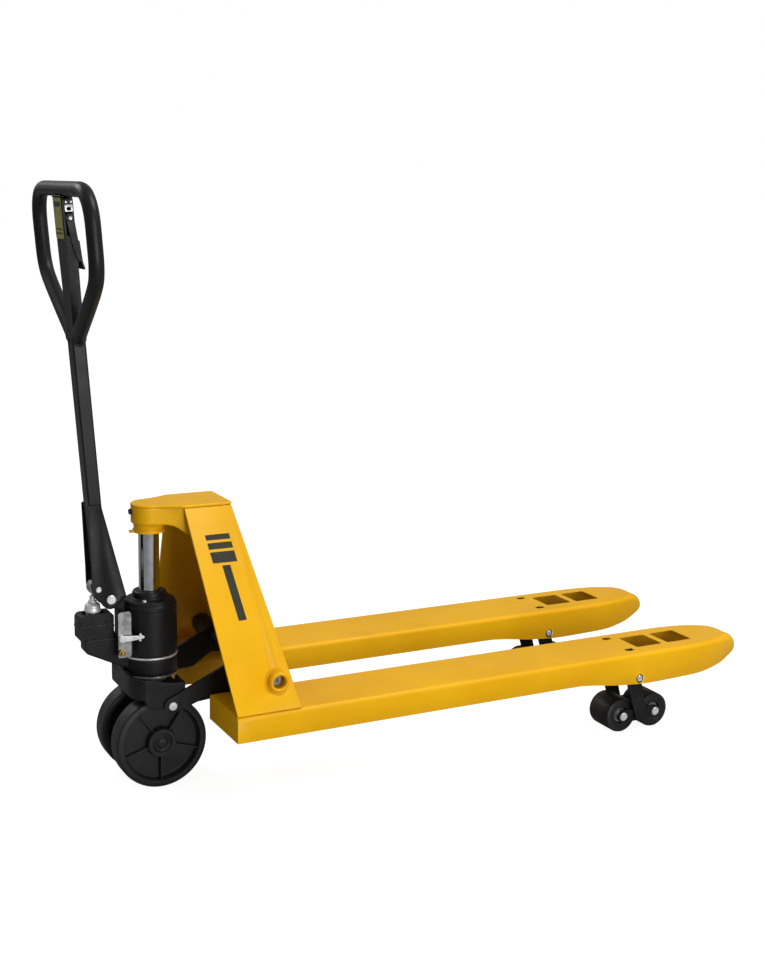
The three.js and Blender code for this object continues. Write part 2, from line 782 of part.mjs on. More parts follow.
/** Housing between the two sides of the loop, open at the sides near the lever pin. */
function gripStem() {
  const outer = slabX(stemOutline(0, STEM_BOTTOM, STEM_TOP), BAR_X - 11, BAR_X + 11);
  const inner = slabX(stemOutline(3, STEM_BOTTOM - 5, STEM_TOP - 4), BAR_X - 8, BAR_X + 8);
  return cut(
    solid(outer),
    inner,
    box(BAR_X - 7, BAR_X + 7, -50, 50, 752, 806),
  );
}

/** Centre line of the loop in the handle's own frame. */
function loopPath() {
  const half = [
    [14, 548],
    [62, 583],
    [110, 617],
    [156, 652],
    [179, 676],
    [189, 706],
    [190.5, 745],
    [190, 785],
    [182, 812],
    [164, 832],
    [138, 841],
    [100, LOOP_TOP],
    [50, LOOP_TOP],
  ];
  const right = half.map(([y, z]) => new THREE.Vector3(BAR_X, -y, z));
  const left = half.map(([y, z]) => new THREE.Vector3(BAR_X, y, z)).reverse();
  return new THREE.CatmullRomCurve3([...right, new THREE.Vector3(BAR_X, 0, LOOP_TOP), ...left]);
}

/** Bent tube loop, trimmed where it meets the bar and the stem. */
function handleLoop() {
  const section = new THREE.Shape();
  section.absarc(0, 0, LOOP_TUBE_R, 0, 2 * Math.PI, false);
  const tube = new THREE.ExtrudeGeometry(section, {
    steps: 40,
    curveSegments: 5,
    extrudePath: loopPath(),
  });
  const bar = box(BAR_X - 14.4, BAR_X + 14.4, -BAR_HALF - GAP, BAR_HALF + GAP, 480, STEM_BOTTOM);
  const wideBar = box(BAR_X - 40, BAR_X + 40, -BAR_HALF - GAP, BAR_HALF + GAP, 480, STEM_BOTTOM);
  const grown = slabX(stemOutline(-GAP, STEM_BOTTOM - 0.1, STEM_TOP + GAP), BAR_X - 40, BAR_X + 40);
  return cut(solid(tube), bar, wideBar, grown);
}

/** Trigger with two cheeks on the pin and a tongue in front of the stem. */
function controlLever() {
  const cheek = new THREE.Shape();
  cheek.moveTo(-7, LEVER_PIN_Z - 6);
  cheek.absarc(0, LEVER_PIN_Z, 9, 1.2 * Math.PI, -0.1 * Math.PI, true);
  cheek.lineTo(14.5, 742);
  cheek.lineTo(19, 700);
  cheek.lineTo(12.6, 700);
  cheek.lineTo(2, 722);
  const parts = [-1, 1].map((side) => {
    const a = side * 33;
    const b = side * 35.6;
    return slabY(cheek, Math.min(a, b), Math.max(a, b), 8).translate(LEVER_PIN_X, 0, 0);
  });
  const tongue = slabY([[14.5, 742], [17.2, 742], [21.6, 702], [28, 684], [25.6, 682], [18.8, 700]], -35.6, 35.6);
  parts.push(tongue.translate(LEVER_PIN_X, 0, 0));
  return cut(join(...parts), rodY(LEVER_PIN_X, LEVER_PIN_Z, 4.4, -50, 50, 16));
}

function buildHandle() {
  const handle = new THREE.Group();
  handle.position.set(PIVOT_X, 0, PIVOT_Z);
  handle.rotation.y = -LEAN;
  jack.add(handle);
  addPiece("yoke_plate_left", yokePlate(1), BLACK, handle);
  addPiece("yoke_plate_right", yokePlate(-1), BLACK, handle);
  addPiece("draw_bar", drawBar(), BLACK, handle);
  addPiece("grip_stem", gripStem(), BLACK, handle);
  addPiece("handle_loop", handleLoop(), BLACK, handle);
  addPiece("label_plate", box(BAR_X - 12.3, BAR_X - 11.3, -28, 28, 741, 820), LABEL, handle);
  addPiece("roller_pin", rodY(CAM_X, CAM_Z, 6, -27.6, 27.6, 20), ZINC, handle);
  const cam = solid(rodY(CAM_X, CAM_Z, 16, -12, 12, 20));
  addPiece("cam_roller", cut(cam, rodY(CAM_X, CAM_Z, 6.4, -20, 20, 20)), STEEL, handle);
  addPiece("lever_pin", rodY(LEVER_PIN_X, LEVER_PIN_Z, 4, -38.5, 38.5, 16), ZINC, handle);
  addPiece("control_lever", controlLever(), BLACK, handle);
  addPiece("pull_rod", rodZ(BAR_X, 0, 3, 50, 770, 12), STEEL, handle);
}

// ------------------------------------------------------------------ assembly

buildFrame();
buildRocker();
buildLoadRollers();
buildBearingBlock();
buildPump();
buildHandle();

export default jack;
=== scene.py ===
"""Hand pallet jack: fine pieces, finishes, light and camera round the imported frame.

Sizes are in millimetres with X = 0 on the steering axis and Z = 0 on the floor,
as a maker would draw the jack; JACK takes them to metres in the shared frame,
and GRIP does the same for the handle, whose own Z runs along the draw bar.
"""
import logging
import math
from dataclasses import dataclass, field
from enum import Enum
from typing import Optional, Sequence

import bmesh
import bpy
from mathutils import Matrix, Vector


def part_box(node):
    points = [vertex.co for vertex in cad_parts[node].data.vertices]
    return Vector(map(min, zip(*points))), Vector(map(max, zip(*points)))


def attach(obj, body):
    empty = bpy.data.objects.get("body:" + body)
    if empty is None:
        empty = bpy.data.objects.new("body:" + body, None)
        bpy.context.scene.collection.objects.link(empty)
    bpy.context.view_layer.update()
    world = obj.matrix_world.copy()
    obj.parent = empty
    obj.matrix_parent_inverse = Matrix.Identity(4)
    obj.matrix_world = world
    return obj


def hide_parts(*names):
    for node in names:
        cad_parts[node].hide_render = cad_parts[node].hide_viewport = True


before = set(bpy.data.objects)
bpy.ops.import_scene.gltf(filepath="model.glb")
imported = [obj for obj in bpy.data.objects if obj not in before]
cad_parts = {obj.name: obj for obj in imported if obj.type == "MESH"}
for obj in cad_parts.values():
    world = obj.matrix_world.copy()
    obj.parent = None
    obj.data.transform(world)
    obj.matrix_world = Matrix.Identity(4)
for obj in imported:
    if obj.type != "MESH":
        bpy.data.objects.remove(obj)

LOG = logging.getLogger("pallet_jack")
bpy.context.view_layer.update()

MM = 0.001
AXIS_X = sum(corner.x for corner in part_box("steer_axle")) / 2
PIVOT_X = -91.0
PIVOT_Z = 413.0
LEAN = math.radians(4.37)
JACK = Matrix.Translation((AXIS_X, 0, 0)) @ Matrix.Scale(MM, 4)
GRIP = JACK @ Matrix.Translation((PIVOT_X, 0, PIVOT_Z)) @ Matrix.Rotation(-LEAN, 4, "Y")

FORK_CENTRE = 190.0
SHAFT = (193.0, 264.0)
TRUNNION = (13.0, 191.0)
YOKE = (1110.0, 146.0)
BOGIE = (1142.0, 41.5)
ROD_REAR = (217.1, 190.0)
ROD_FRONT = (1134.1, 174.2)
PISTON_X = -124.0
VALVE_X = -78.0
PIVOT = (PIVOT_X, PIVOT_Z)
STEER_AXLE = (0.0, 100.0)
SPINDLE = (VALVE_X, 334.0)
BANJO = (VALVE_X, 304.0)
PISTON = (PISTON_X, 0.0)

SQUARE_ON = 0.9999  # share of a normal that lies along X, above which a face looks along the forks
BROAD_END = 0.004  # area in square metres above which such a face is shaded flat
FACE_WEIGHT = 60  # pull of large faces on the normals at their corners

Point2 = Sequence[float]
Mesh = bpy.types.Object


class Axis(Enum):
    """Which way a turned or extruded shape runs."""

    X = "X"
    Y = "Y"
    Z = "Z"


class Side(Enum):
    """Left is +Y for a person at the handle who looks along the forks."""

    LEFT = 1
    RIGHT = -1

    @property
    def label(self) -> str:
        """The word that names use for this side."""
        return self.name.lower()


# ------------------------------------------------------------------ outlines


def rounded(points: Sequence[Sequence[float]], radius: float, steps: int = 4) -> list[tuple[float, float]]:
    """Rounds the corners of a closed outline.

    Args:
        points: Corners as (a, b), or (a, b, r) where a corner has its own radius.
        radius: Length that each corner gives up on both sides.
        steps: Number of chords in each rounded corner.

    Returns:
        The outline with an arc-like curve at each corner.
    """
    out: list[tuple[float, float]] = []
    count = len(points)
    for i, corner in enumerate(points):
        here = Vector(corner[:2])
        before = Vector(points[i - 1][:2]) - here
        after = Vector(points[(i + 1) % count][:2]) - here
        reach = corner[2] if len(corner) > 2 else radius
        reach = min(reach, before.length * 0.48, after.length * 0.48)
        if reach < 1e-3:
            out.append((here.x, here.y))
            continue
        start = here + before.normalized() * reach
        end = here + after.normalized() * reach
        for k in range(steps + 1):
            s = k / steps
            p = start * (1 - s) ** 2 + here * 2 * s * (1 - s) + end * s**2
            out.append((p.x, p.y))
    return out


def open_rounded(points: Sequence[Point2], radius: float, steps: int = 4) -> list[tuple[float, float]]:
    """Rounds the inner corners of a profile whose two ends stay sharp.

    Args:
        points: Profile points from end to end.
        radius: Length that each inner corner gives up on both sides.
        steps: Number of chords in each rounded corner.

    Returns:
        The profile with rounded corners.
    """
    first, last = (*points[0][:2], 0.0), (*points[-1][:2], 0.0)
    return rounded([first, *points[1:-1], last], radius, steps)


def belt(a: Point2, ra: float, b: Point2, rb: float, steps: int = 28) -> list[tuple[float, float]]:
    """The belt round two circles, as a bar with two round ends.

    Args:
        a: Centre of the first end.
        ra: Radius of the first end.
        b: Centre of the second end.
        rb: Radius of the second end.
        steps: Number of chords in each round end.

    Returns:
        The closed outline.
    """
    along = math.atan2(b[1] - a[1], b[0] - a[0])
    flare = math.acos((ra - rb) / math.dist(a, b))
    out = []
    for k in range(steps + 1):
        turn = along + flare + (2 * math.pi - 2 * flare) * k / steps
        out.append((a[0] + ra * math.cos(turn), a[1] + ra * math.sin(turn)))
    for k in range(steps + 1):
        turn = along - flare + 2 * flare * k / steps
        out.append((b[0] + rb * math.cos(turn), b[1] + rb * math.sin(turn)))
    return out


def polygon(radius: float, count: int, centre: Point2 = (0, 0)) -> list[tuple[float, float]]:
    """Corners of a regular polygon, or points round a circle.

    Args:
        radius: Distance of the corners from the centre.
        count: Number of corners.
        centre: Middle of the polygon.

    Returns:
        The corners, the first one on the first axis.
    """
    turns = [2 * math.pi * k / count for k in range(count)]
    return [(centre[0] + radius * math.cos(t), centre[1] + radius * math.sin(t)) for t in turns]


def bezier(a: Point2, b: Point2, c: Point2, steps: int = 14) -> list[tuple[float, float]]:
    """Points on a curve, without its first point.

    Args:
        a: Start of the curve.
        b: Point that it is drawn towards.
        c: End of the curve.
        steps: Number of points.

    Returns:
        The points, the last one at c.
    """
    out = []
    for k in range(1, steps + 1):
        s = k / steps
        out.append(tuple(a[i] * (1 - s) ** 2 + 2 * b[i] * s * (1 - s) + c[i] * s * s for i in range(2)))
    return out


# -------------------------------------------------------------------- meshes


def lift(axis: Axis, a: float, b: float, along: float) -> Vector:
    """A point in space from its place in an outline.

    Args:
        axis: Axis that the outline lies across.
        a: First coordinate in the outline's plane.
        b: Second coordinate in that plane.
        along: Coordinate along the axis.

    Returns:
        The point.
    """
    if axis is Axis.X:
        return Vector((along, a, b))
    if axis is Axis.Y:
        return Vector((a, along, b))
    return Vector((a, b, along))


def placed(name: str, mesh: bpy.types.Mesh) -> Mesh:
    """Links an object made of a mesh.

    Args:
        name: Name of the object.
        mesh: Its mesh.

    Returns:
        The object, at the origin.
    """
    piece = bpy.data.objects.new(name, mesh)
    bpy.context.scene.collection.objects.link(piece)
    return piece


def settle(name: str, bm: bmesh.types.BMesh, place: Matrix = JACK) -> Mesh:
    """Turns a bmesh in millimetres into a linked object in metres.

    Args:
        name: Name of the new object.
        bm: The shape, which is freed.
        place: Frame that the millimetres are in.

    Returns:
        The object, at the origin, with its place in its mesh.
    """
    bmesh.ops.remove_doubles(bm, verts=bm.verts, dist=1e-3)
    bmesh.ops.dissolve_degenerate(bm, edges=bm.edges, dist=1e-3)
    bmesh.ops.recalc_face_normals(bm, faces=bm.faces)
    bm.transform(place)
    mesh = bpy.data.meshes.new(name)
    bm.to_mesh(mesh)
    bm.free()
    return placed(name, mesh)


def lathe(name: str, profile: Sequence[Point2], centre: Sequence[float] = (0, 0), axis: Axis = Axis.Z,
          sides: int = 96, place: Matrix = JACK, flip: int = 1) -> Mesh:
    """Turns a profile of (radius, height) about an axis.

    Args:
        name: Name of the new object.
        profile: Points from end to end; closed by itself unless both ends are on the axis.
        centre: Where the axis is, in the plane across it.
        axis: Direction of the axis.
        sides: Number of facets round it.
        place: Frame that the millimetres are in.
        flip: 1, or -1 to measure heights the other way.

    Returns:
        The turned piece.
    """
    bm = bmesh.new()
    rings = []
    for radius, height in profile:
        rings.append([bm.verts.new(lift(axis, a, b, height * flip)) for a, b in polygon(radius, sides, centre)])
    solid = profile[0][0] < 1e-6 and profile[-1][0] < 1e-6
    spans = len(rings) - 1 if solid else len(rings)
    for i in range(spans):
        low, high = rings[i], rings[(i + 1) % len(rings)]
        for k in range(sides):
            n = (k + 1) % sides
            bm.faces.new((low[k], low[n], high[n], high[k]))
    return settle(name, bm, place)


def slab(name: str, outline: Sequence[Point2], low: float, high: float, axis: Axis = Axis.Y,
         place: Matrix = JACK) -> Mesh:
    """Gives a closed outline a thickness.

    Args:
        name: Name of the new object.
        outline: Corners in the plane across the axis.
        low: Where the thickness starts.
        high: Where it ends.
        axis: Direction of the thickness.
        place: Frame that the millimetres are in.

    Returns:
        The extruded piece.
    """
    bm = bmesh.new()
    floor = [bm.verts.new(lift(axis, a, b, low)) for a, b in outline]
    roof = [bm.verts.new(lift(axis, a, b, high)) for a, b in outline]
    bm.faces.new(floor)
    bm.faces.new(list(reversed(roof)))
    for k in range(len(outline)):
        n = (k + 1) % len(outline)
        bm.faces.new((floor[k], floor[n], roof[n], roof[k]))
    return settle(name, bm, place)


def peg(radius: float, low: float, high: float, centre: Sequence[float] = (0, 0), axis: Axis = Axis.Y,
        sides: int = 48, place: Matrix = JACK) -> Mesh:
    """A plain cylinder, to cut a bore with or to join.

    Args:
        radius: Radius of the cylinder.
        low: Where it starts along its axis.
        high: Where it ends.
        centre: Where the axis is, in the plane across it.
        axis: Direction of the axis.
        sides: Number of facets round it.
        place: Frame that the millimetres are in.

    Returns:
        The cylinder.
    """
    return lathe("peg", [(0, low), (radius, low), (radius, high), (0, high)], centre, axis, sides, place)


def block(name: str, low: Sequence[float], high: Sequence[float], place: Matrix = JACK) -> Mesh:
    """A box between two corners, in the frame called place."""
    outline = [(low[0], low[1]), (high[0], low[1]), (high[0], high[1]), (low[0], high[1])]
    return slab(name, outline, low[2], high[2], Axis.Z, place)


def baked(piece: Mesh) -> Mesh:
    """Replaces a piece's mesh by what its modifiers make of it, and removes them.

    Args:
        piece: The object with live modifiers.

    Returns:
        The same object with a plain mesh.
    """
    graph = bpy.context.evaluated_depsgraph_get()
    graph.update()
    mesh = bpy.data.meshes.new_from_object(piece.evaluated_get(graph), preserve_all_data_layers=True,
                                           depsgraph=graph)
    piece.modifiers.clear()
    old = piece.data
    piece.data = mesh
    mesh.name = piece.name
    if old.users == 0:
        bpy.data.meshes.remove(old)
    return piece


def combine(piece: Mesh, tools: Sequence[Mesh], operation: str) -> Mesh:
    """Joins or cuts a piece with others, which are removed.

    Args:
        piece: The object to change.
        tools: Closed objects to join or cut with.
        operation: UNION or DIFFERENCE.

    Returns:
        The changed piece.
    """
    for tool in tools:
        step = piece.modifiers.new("join", "BOOLEAN")
        step.operation = operation
        step.solver = "EXACT"
        step.object = tool
    baked(piece)
    for tool in tools:
        bpy.data.objects.remove(tool, do_unlink=True)
    return piece


def join(piece: Mesh, *tools: Mesh) -> Mesh:
    """Joins closed tools to a piece, and removes them."""
    return combine(piece, tools, "UNION")


def cut(piece: Mesh, *tools: Mesh) -> Mesh:
    """Cuts a piece with closed tools, and removes them."""
    return combine(piece, tools, "DIFFERENCE")


def united(name: str, parts: Sequence[Mesh]) -> Mesh:
    """Puts several meshes in one object, side by side.

    Args:
        name: Name of the result.
        parts: Objects to gather, which are removed.

    Returns:
        One object with all their faces and materials.
    """
    bm = bmesh.new()
    materials: list[bpy.types.Material] = []
    for part in parts:
        mesh = part.data
        offset = []
        for material in mesh.materials:
            if material not in materials:
                materials.append(material)
            offset.append(materials.index(material))
        start = len(bm.faces)
        bm.from_mesh(mesh)
        bm.faces.ensure_lookup_table()
        for face in bm.faces[start:]:
            face.material_index = offset[face.material_index] if offset else 0
        bpy.data.objects.remove(part, do_unlink=True)
    mesh = bpy.data.meshes.new(name)
    bm.to_mesh(mesh)
    bm.free()
    for material in materials:
        mesh.materials.append(material)
    return placed(name, mesh)


def softened(piece: Mesh, width: float, segments: int = 2, angle: float = 32.0) -> Mesh:
    """Rounds the sharp edges of a piece.

    Args:
        piece: The object to change.
        width: Width of the rounding in millimetres.
        segments: Number of facets across it.
        angle: Smallest edge angle in degrees that counts as sharp.

    Returns:
        The changed piece.
    """
    step = piece.modifiers.new("round", "BEVEL")
    step.width = width * MM
    step.segments = segments
    step.limit_method = "ANGLE"
    step.angle_limit = math.radians(angle)
    step.use_clamp_overlap = True
    return baked(piece)


def cast(piece: Mesh, voxel: float, rounds: int = 6, keep: float = 0.5) -> Mesh:
    """Gives a piece the run-together edges of a casting.

    Args:
        piece: Closed mesh, whose parts may overlap.
        voxel: Grid size in millimetres.
        rounds: Passes of smoothing.
        keep: Share of the triangles that stay.

    Returns:
        The changed piece.
    """
    step = piece.modifiers.new("skin", "REMESH")
    step.mode = "VOXEL"
    step.voxel_size = voxel * MM
    smooth = piece.modifiers.new("soften", "SMOOTH")
    smooth.factor = 0.5
    smooth.iterations = rounds
    if keep < 1:
        thin = piece.modifiers.new("thin", "DECIMATE")
        thin.ratio = keep
    return baked(piece)


def shaded(piece: Mesh, angle: float = 35.0) -> Mesh:
    """Smooth shading but for sharp edges and for broad faces that look along the forks.

    Args:
        piece: The object to shade.
        angle: Limit in degrees.

    Returns:
        The shaded piece.
    """
    mesh = piece.data
    mesh.polygons.foreach_set("use_smooth", [True] * len(mesh.polygons))
    mesh.set_sharp_from_angle(angle=math.radians(angle))
    for face in mesh.polygons:
        if abs(face.normal.x) > SQUARE_ON and face.area > BROAD_END:
            face.use_smooth = False
    step = piece.modifiers.new("weigh", "WEIGHTED_NORMAL")
    step.keep_sharp = True
    step.weight = FACE_WEIGHT
    return baked(piece)


def mirror_copy(piece: Mesh, name: str) -> Mesh:
    """A copy of a piece reflected in the middle plane, with its faces outwards.

    Args:
        piece: The object to copy.
        name: Name of the copy.

    Returns:
        The copy.
    """
    copy = placed(name, piece.data.copy())
    bm = bmesh.new()
    bm.from_mesh(copy.data)
    bmesh.ops.scale(bm, vec=(1, -1, 1), verts=bm.verts)
    bmesh.ops.reverse_faces(bm, faces=bm.faces)
    bm.to_mesh(copy.data)
    bm.free()
    return copy


# ------------------------------------------------------------ geometry nodes


@dataclass
class GrowTree:
    """A geometry node tree whose number inputs have names."""

    name: str
    inputs: dict[str, float]
    tree: bpy.types.NodeTree = field(init=False)

    def __post_init__(self) -> None:
        """Opens the tree with its sockets."""
        self.tree = bpy.data.node_groups.new(self.name, "GeometryNodeTree")
        face = self.tree.interface
        face.new_socket("Geometry", in_out="OUTPUT", socket_type="NodeSocketGeometry")
        face.new_socket("Geometry", in_out="INPUT", socket_type="NodeSocketGeometry")
        for label, value in self.inputs.items():
            kind = "NodeSocketInt" if isinstance(value, int) else "NodeSocketFloat"
            face.new_socket(label, in_out="INPUT", socket_type=kind).default_value = value
        face.new_socket("Material", in_out="INPUT", socket_type="NodeSocketMaterial")
        self.source = self.node("NodeGroupInput")
        self.sink = self.node("NodeGroupOutput")

    def node(self, kind: str, **settings: object) -> bpy.types.Node:
        """Adds a node.

        Args:
            kind: Type name of the node.
            **settings: Properties to set on it.

        Returns:
            The node.
        """
        made = self.tree.nodes.new(kind)
        for key, value in settings.items():
            setattr(made, key, value)
        return made

    def wires(self, *runs: tuple[bpy.types.Node, str | int, bpy.types.Node, str | int]) -> None:
        """Joins sockets, each run given as node, output, node, input."""
        for start, out, end, into in runs:
            self.tree.links.new(start.outputs[out], end.inputs[into])

    def close(self, last: bpy.types.Node, output: str) -> None:
        """Ends the tree with real geometry and its material.

        Args:
            last: Node that holds the finished shape.
            output: Name of its output.
        """
        real = self.node("GeometryNodeRealizeInstances")
        paint = self.node("GeometryNodeSetMaterial")
        self.wires(
            (last, output, real, "Geometry"),
            (real, "Geometry", paint, "Geometry"),
            (self.source, "Material", paint, "Material"),
            (paint, "Geometry", self.sink, "Geometry"),
        )

    def grow(self, seed: Mesh, material: bpy.types.Material, **values: float) -> Mesh:
        """Runs the tree on a seed mesh and keeps the result as a plain mesh.

        Args:
            seed: The object that carries the path or the item to repeat.
            material: Finish of the result.
            **values: Named inputs, with underscores for spaces.

        Returns:
            The seed with the grown mesh in it.
        """
        step = seed.modifiers.new("grow", "NODES")
        step.node_group = self.tree
        ids = {item.name: item.identifier for item in self.tree.interface.items_tree if item.in_out == "INPUT"}
        step[ids["Material"]] = material
        for label, value in values.items():
            step[ids[label.replace("_", " ")]] = value
        return baked(seed)


def tube_tree() -> GrowTree:
    """Tree that sweeps a round section along a path.

    Returns:
        The tree, with inputs Radius, Step and Sides.
    """
    made = GrowTree("tube along a path", {"Radius": 0.01, "Step": 0.004, "Sides": 32})
    curve = made.node("GeometryNodeMeshToCurve")
    spread = made.node("GeometryNodeResampleCurve", mode="LENGTH")
    section = made.node("GeometryNodeCurvePrimitiveCircle")
    sweep = made.node("GeometryNodeCurveToMesh")
    sweep.inputs["Fill Caps"].default_value = True
    made.wires(
        (made.source, "Geometry", curve, "Mesh"),
        (curve, "Curve", spread, "Curve"),
        (made.source, "Step", spread, "Length"),
        (made.source, "Sides", section, "Resolution"),
        (made.source, "Radius", section, "Radius"),
        (spread, "Curve", sweep, "Curve"),
        (section, "Curve", sweep, "Profile Curve"),
    )
    made.close(sweep, "Mesh")
    return made


def ring_tree() -> GrowTree:
    """Tree that repeats its item round the Y axis through a centre.

    Returns:
        The tree, with inputs Count, Start and the centre's X, Y and Z.
    """
    made = GrowTree("copies round an axle", {"Count": 5, "Start": 0.0, "X": 0.0, "Y": 0.0, "Z": 0.0})
    centre = made.node("ShaderNodeCombineXYZ")
    points = made.node("GeometryNodePoints")
    index = made.node("GeometryNodeInputIndex")
    share = made.node("ShaderNodeMath", operation="DIVIDE")
    turn = made.node("ShaderNodeMath", operation="MULTIPLY_ADD")
    turn.inputs[1].default_value = 2 * math.pi
    spin = made.node("ShaderNodeCombineXYZ")
    lay = made.node("GeometryNodeInstanceOnPoints")
    made.wires(*((made.source, label, centre, label) for label in ("X", "Y", "Z")))
    made.wires(
        (made.source, "Count", points, "Count"),
        (centre, "Vector", points, "Position"),
        (index, "Index", share, 0),
        (made.source, "Count", share, 1),
        (share, "Value", turn, 0),
        (made.source, "Start", turn, 2),
        (turn, "Value", spin, "Y"),
        (points, "Points", lay, "Points"),
        (made.source, "Geometry", lay, "Instance"),
        (spin, "Vector", lay, "Rotation"),
    )
    made.close(lay, "Instances")
    return made


def weld_tree() -> GrowTree:
    """Tree that lays overlapping beads of weld along a path.

    Returns:
        The tree, with inputs Width and Pitch.
    """
    made = GrowTree("weld bead", {"Width": 0.004, "Pitch": 0.002})
    curve = made.node("GeometryNodeMeshToCurve")
    spread = made.node("GeometryNodeCurveToPoints", mode="LENGTH")
    drop = made.node("GeometryNodeMeshIcoSphere")
    drop.inputs["Subdivisions"].default_value = 2
    stretch = made.node("GeometryNodeTransform")
    stretch.inputs["Scale"].default_value = (1.0, 1.0, 0.62)
    uneven = made.node("FunctionNodeRandomValue", data_type="FLOAT")
    uneven.inputs[2].default_value = 0.88
    uneven.inputs[3].default_value = 1.1
    uneven.inputs["Seed"].default_value = 7
    lay = made.node("GeometryNodeInstanceOnPoints")
    smooth = made.node("GeometryNodeSetShadeSmooth")
    made.wires(
        (made.source, "Geometry", curve, "Mesh"),
        (curve, "Curve", spread, "Curve"),
        (made.source, "Pitch", spread, "Length"),
        (made.source, "Width", drop, "Radius"),
        (drop, "Mesh", smooth, "Geometry"),
        (smooth, "Geometry", stretch, "Geometry"),
        (spread, "Points", lay, "Points"),
        (spread, "Rotation", lay, "Rotation"),
        (stretch, "Geometry", lay, "Instance"),
        (uneven, 1, lay, "Scale"),
    )
    made.close(lay, "Instances")
    return made


def coil_tree() -> GrowTree:
    """Tree that winds a round wire into an upright spring.

    Returns:
        The tree, with inputs Radius, Height, Turns, Wire and the foot's X and Z.
    """
    made = GrowTree("spring", {"Radius": 0.01, "Height": 0.02, "Turns": 4.0, "Wire": 0.001, "X": 0.0, "Z": 0.0})
    helix = made.node("GeometryNodeCurveSpiral")
    helix.inputs["Resolution"].default_value = 40
    section = made.node("GeometryNodeCurvePrimitiveCircle")
    section.inputs["Resolution"].default_value = 12
    sweep = made.node("GeometryNodeCurveToMesh")
    sweep.inputs["Fill Caps"].default_value = True
    place = made.node("ShaderNodeCombineXYZ")
    move = made.node("GeometryNodeTransform")
    made.wires(
        (made.source, "Turns", helix, "Rotations"),
        (made.source, "Radius", helix, "Start Radius"),
        (made.source, "Radius", helix, "End Radius"),
        (made.source, "Height", helix, "Height"),
        (made.source, "Wire", section, "Radius"),
        (helix, "Curve", sweep, "Curve"),
        (section, "Curve", sweep, "Profile Curve"),
        (made.source, "X", place, "X"),
        (made.source, "Z", place, "Z"),
        (sweep, "Mesh", move, "Geometry"),
        (place, "Vector", move, "Translation"),
    )
    made.close(move, "Geometry")
    return made


def path(name: str, points: Sequence[Sequence[float]], place: Matrix = JACK, closed: bool = False) -> Mesh:
    """A chain of edges for a tree to follow.

    Args:
        name: Name of the object.
        points: Corners of the chain in millimetres.
        place: Frame that the millimetres are in.
        closed: Whether the last point joins the first.

    Returns:
        The object with edges only.
    """
    mesh = bpy.data.meshes.new(name)
    corners = [place @ Vector(p) for p in points]
    edges = [(i, i + 1) for i in range(len(corners) - 1)]
    if closed:
        edges.append((len(corners) - 1, 0))
    mesh.from_pydata(corners, edges, [])
    return placed(name, mesh)


def smooth_line(points: Sequence[Sequence[float]], steps: int = 10) -> list[Vector]:
    """A curve through all of its points.

    Args:
        points: Points to pass through.
        steps: Number of chords between two of them.

    Returns:
        Points on the curve, ends included.
    """
    knots = [Vector(p) for p in points]
    out = []
    for i in range(len(knots) - 1):
        p0, p1, p2 = knots[max(i - 1, 0)], knots[i], knots[i + 1]
        p3 = knots[min(i + 2, len(knots) - 1)]
        for k in range(steps):
            t = k / steps
            out.append(0.5 * (2 * p1 + (p2 - p0) * t + (2 * p0 - 5 * p1 + 4 * p2 - p3) * t * t
                              + (3 * p1 - p0 - 3 * p2 + p3) * t**3))
    out.append(knots[-1])
    return out


# ------------------------------------------------------------------ finishes


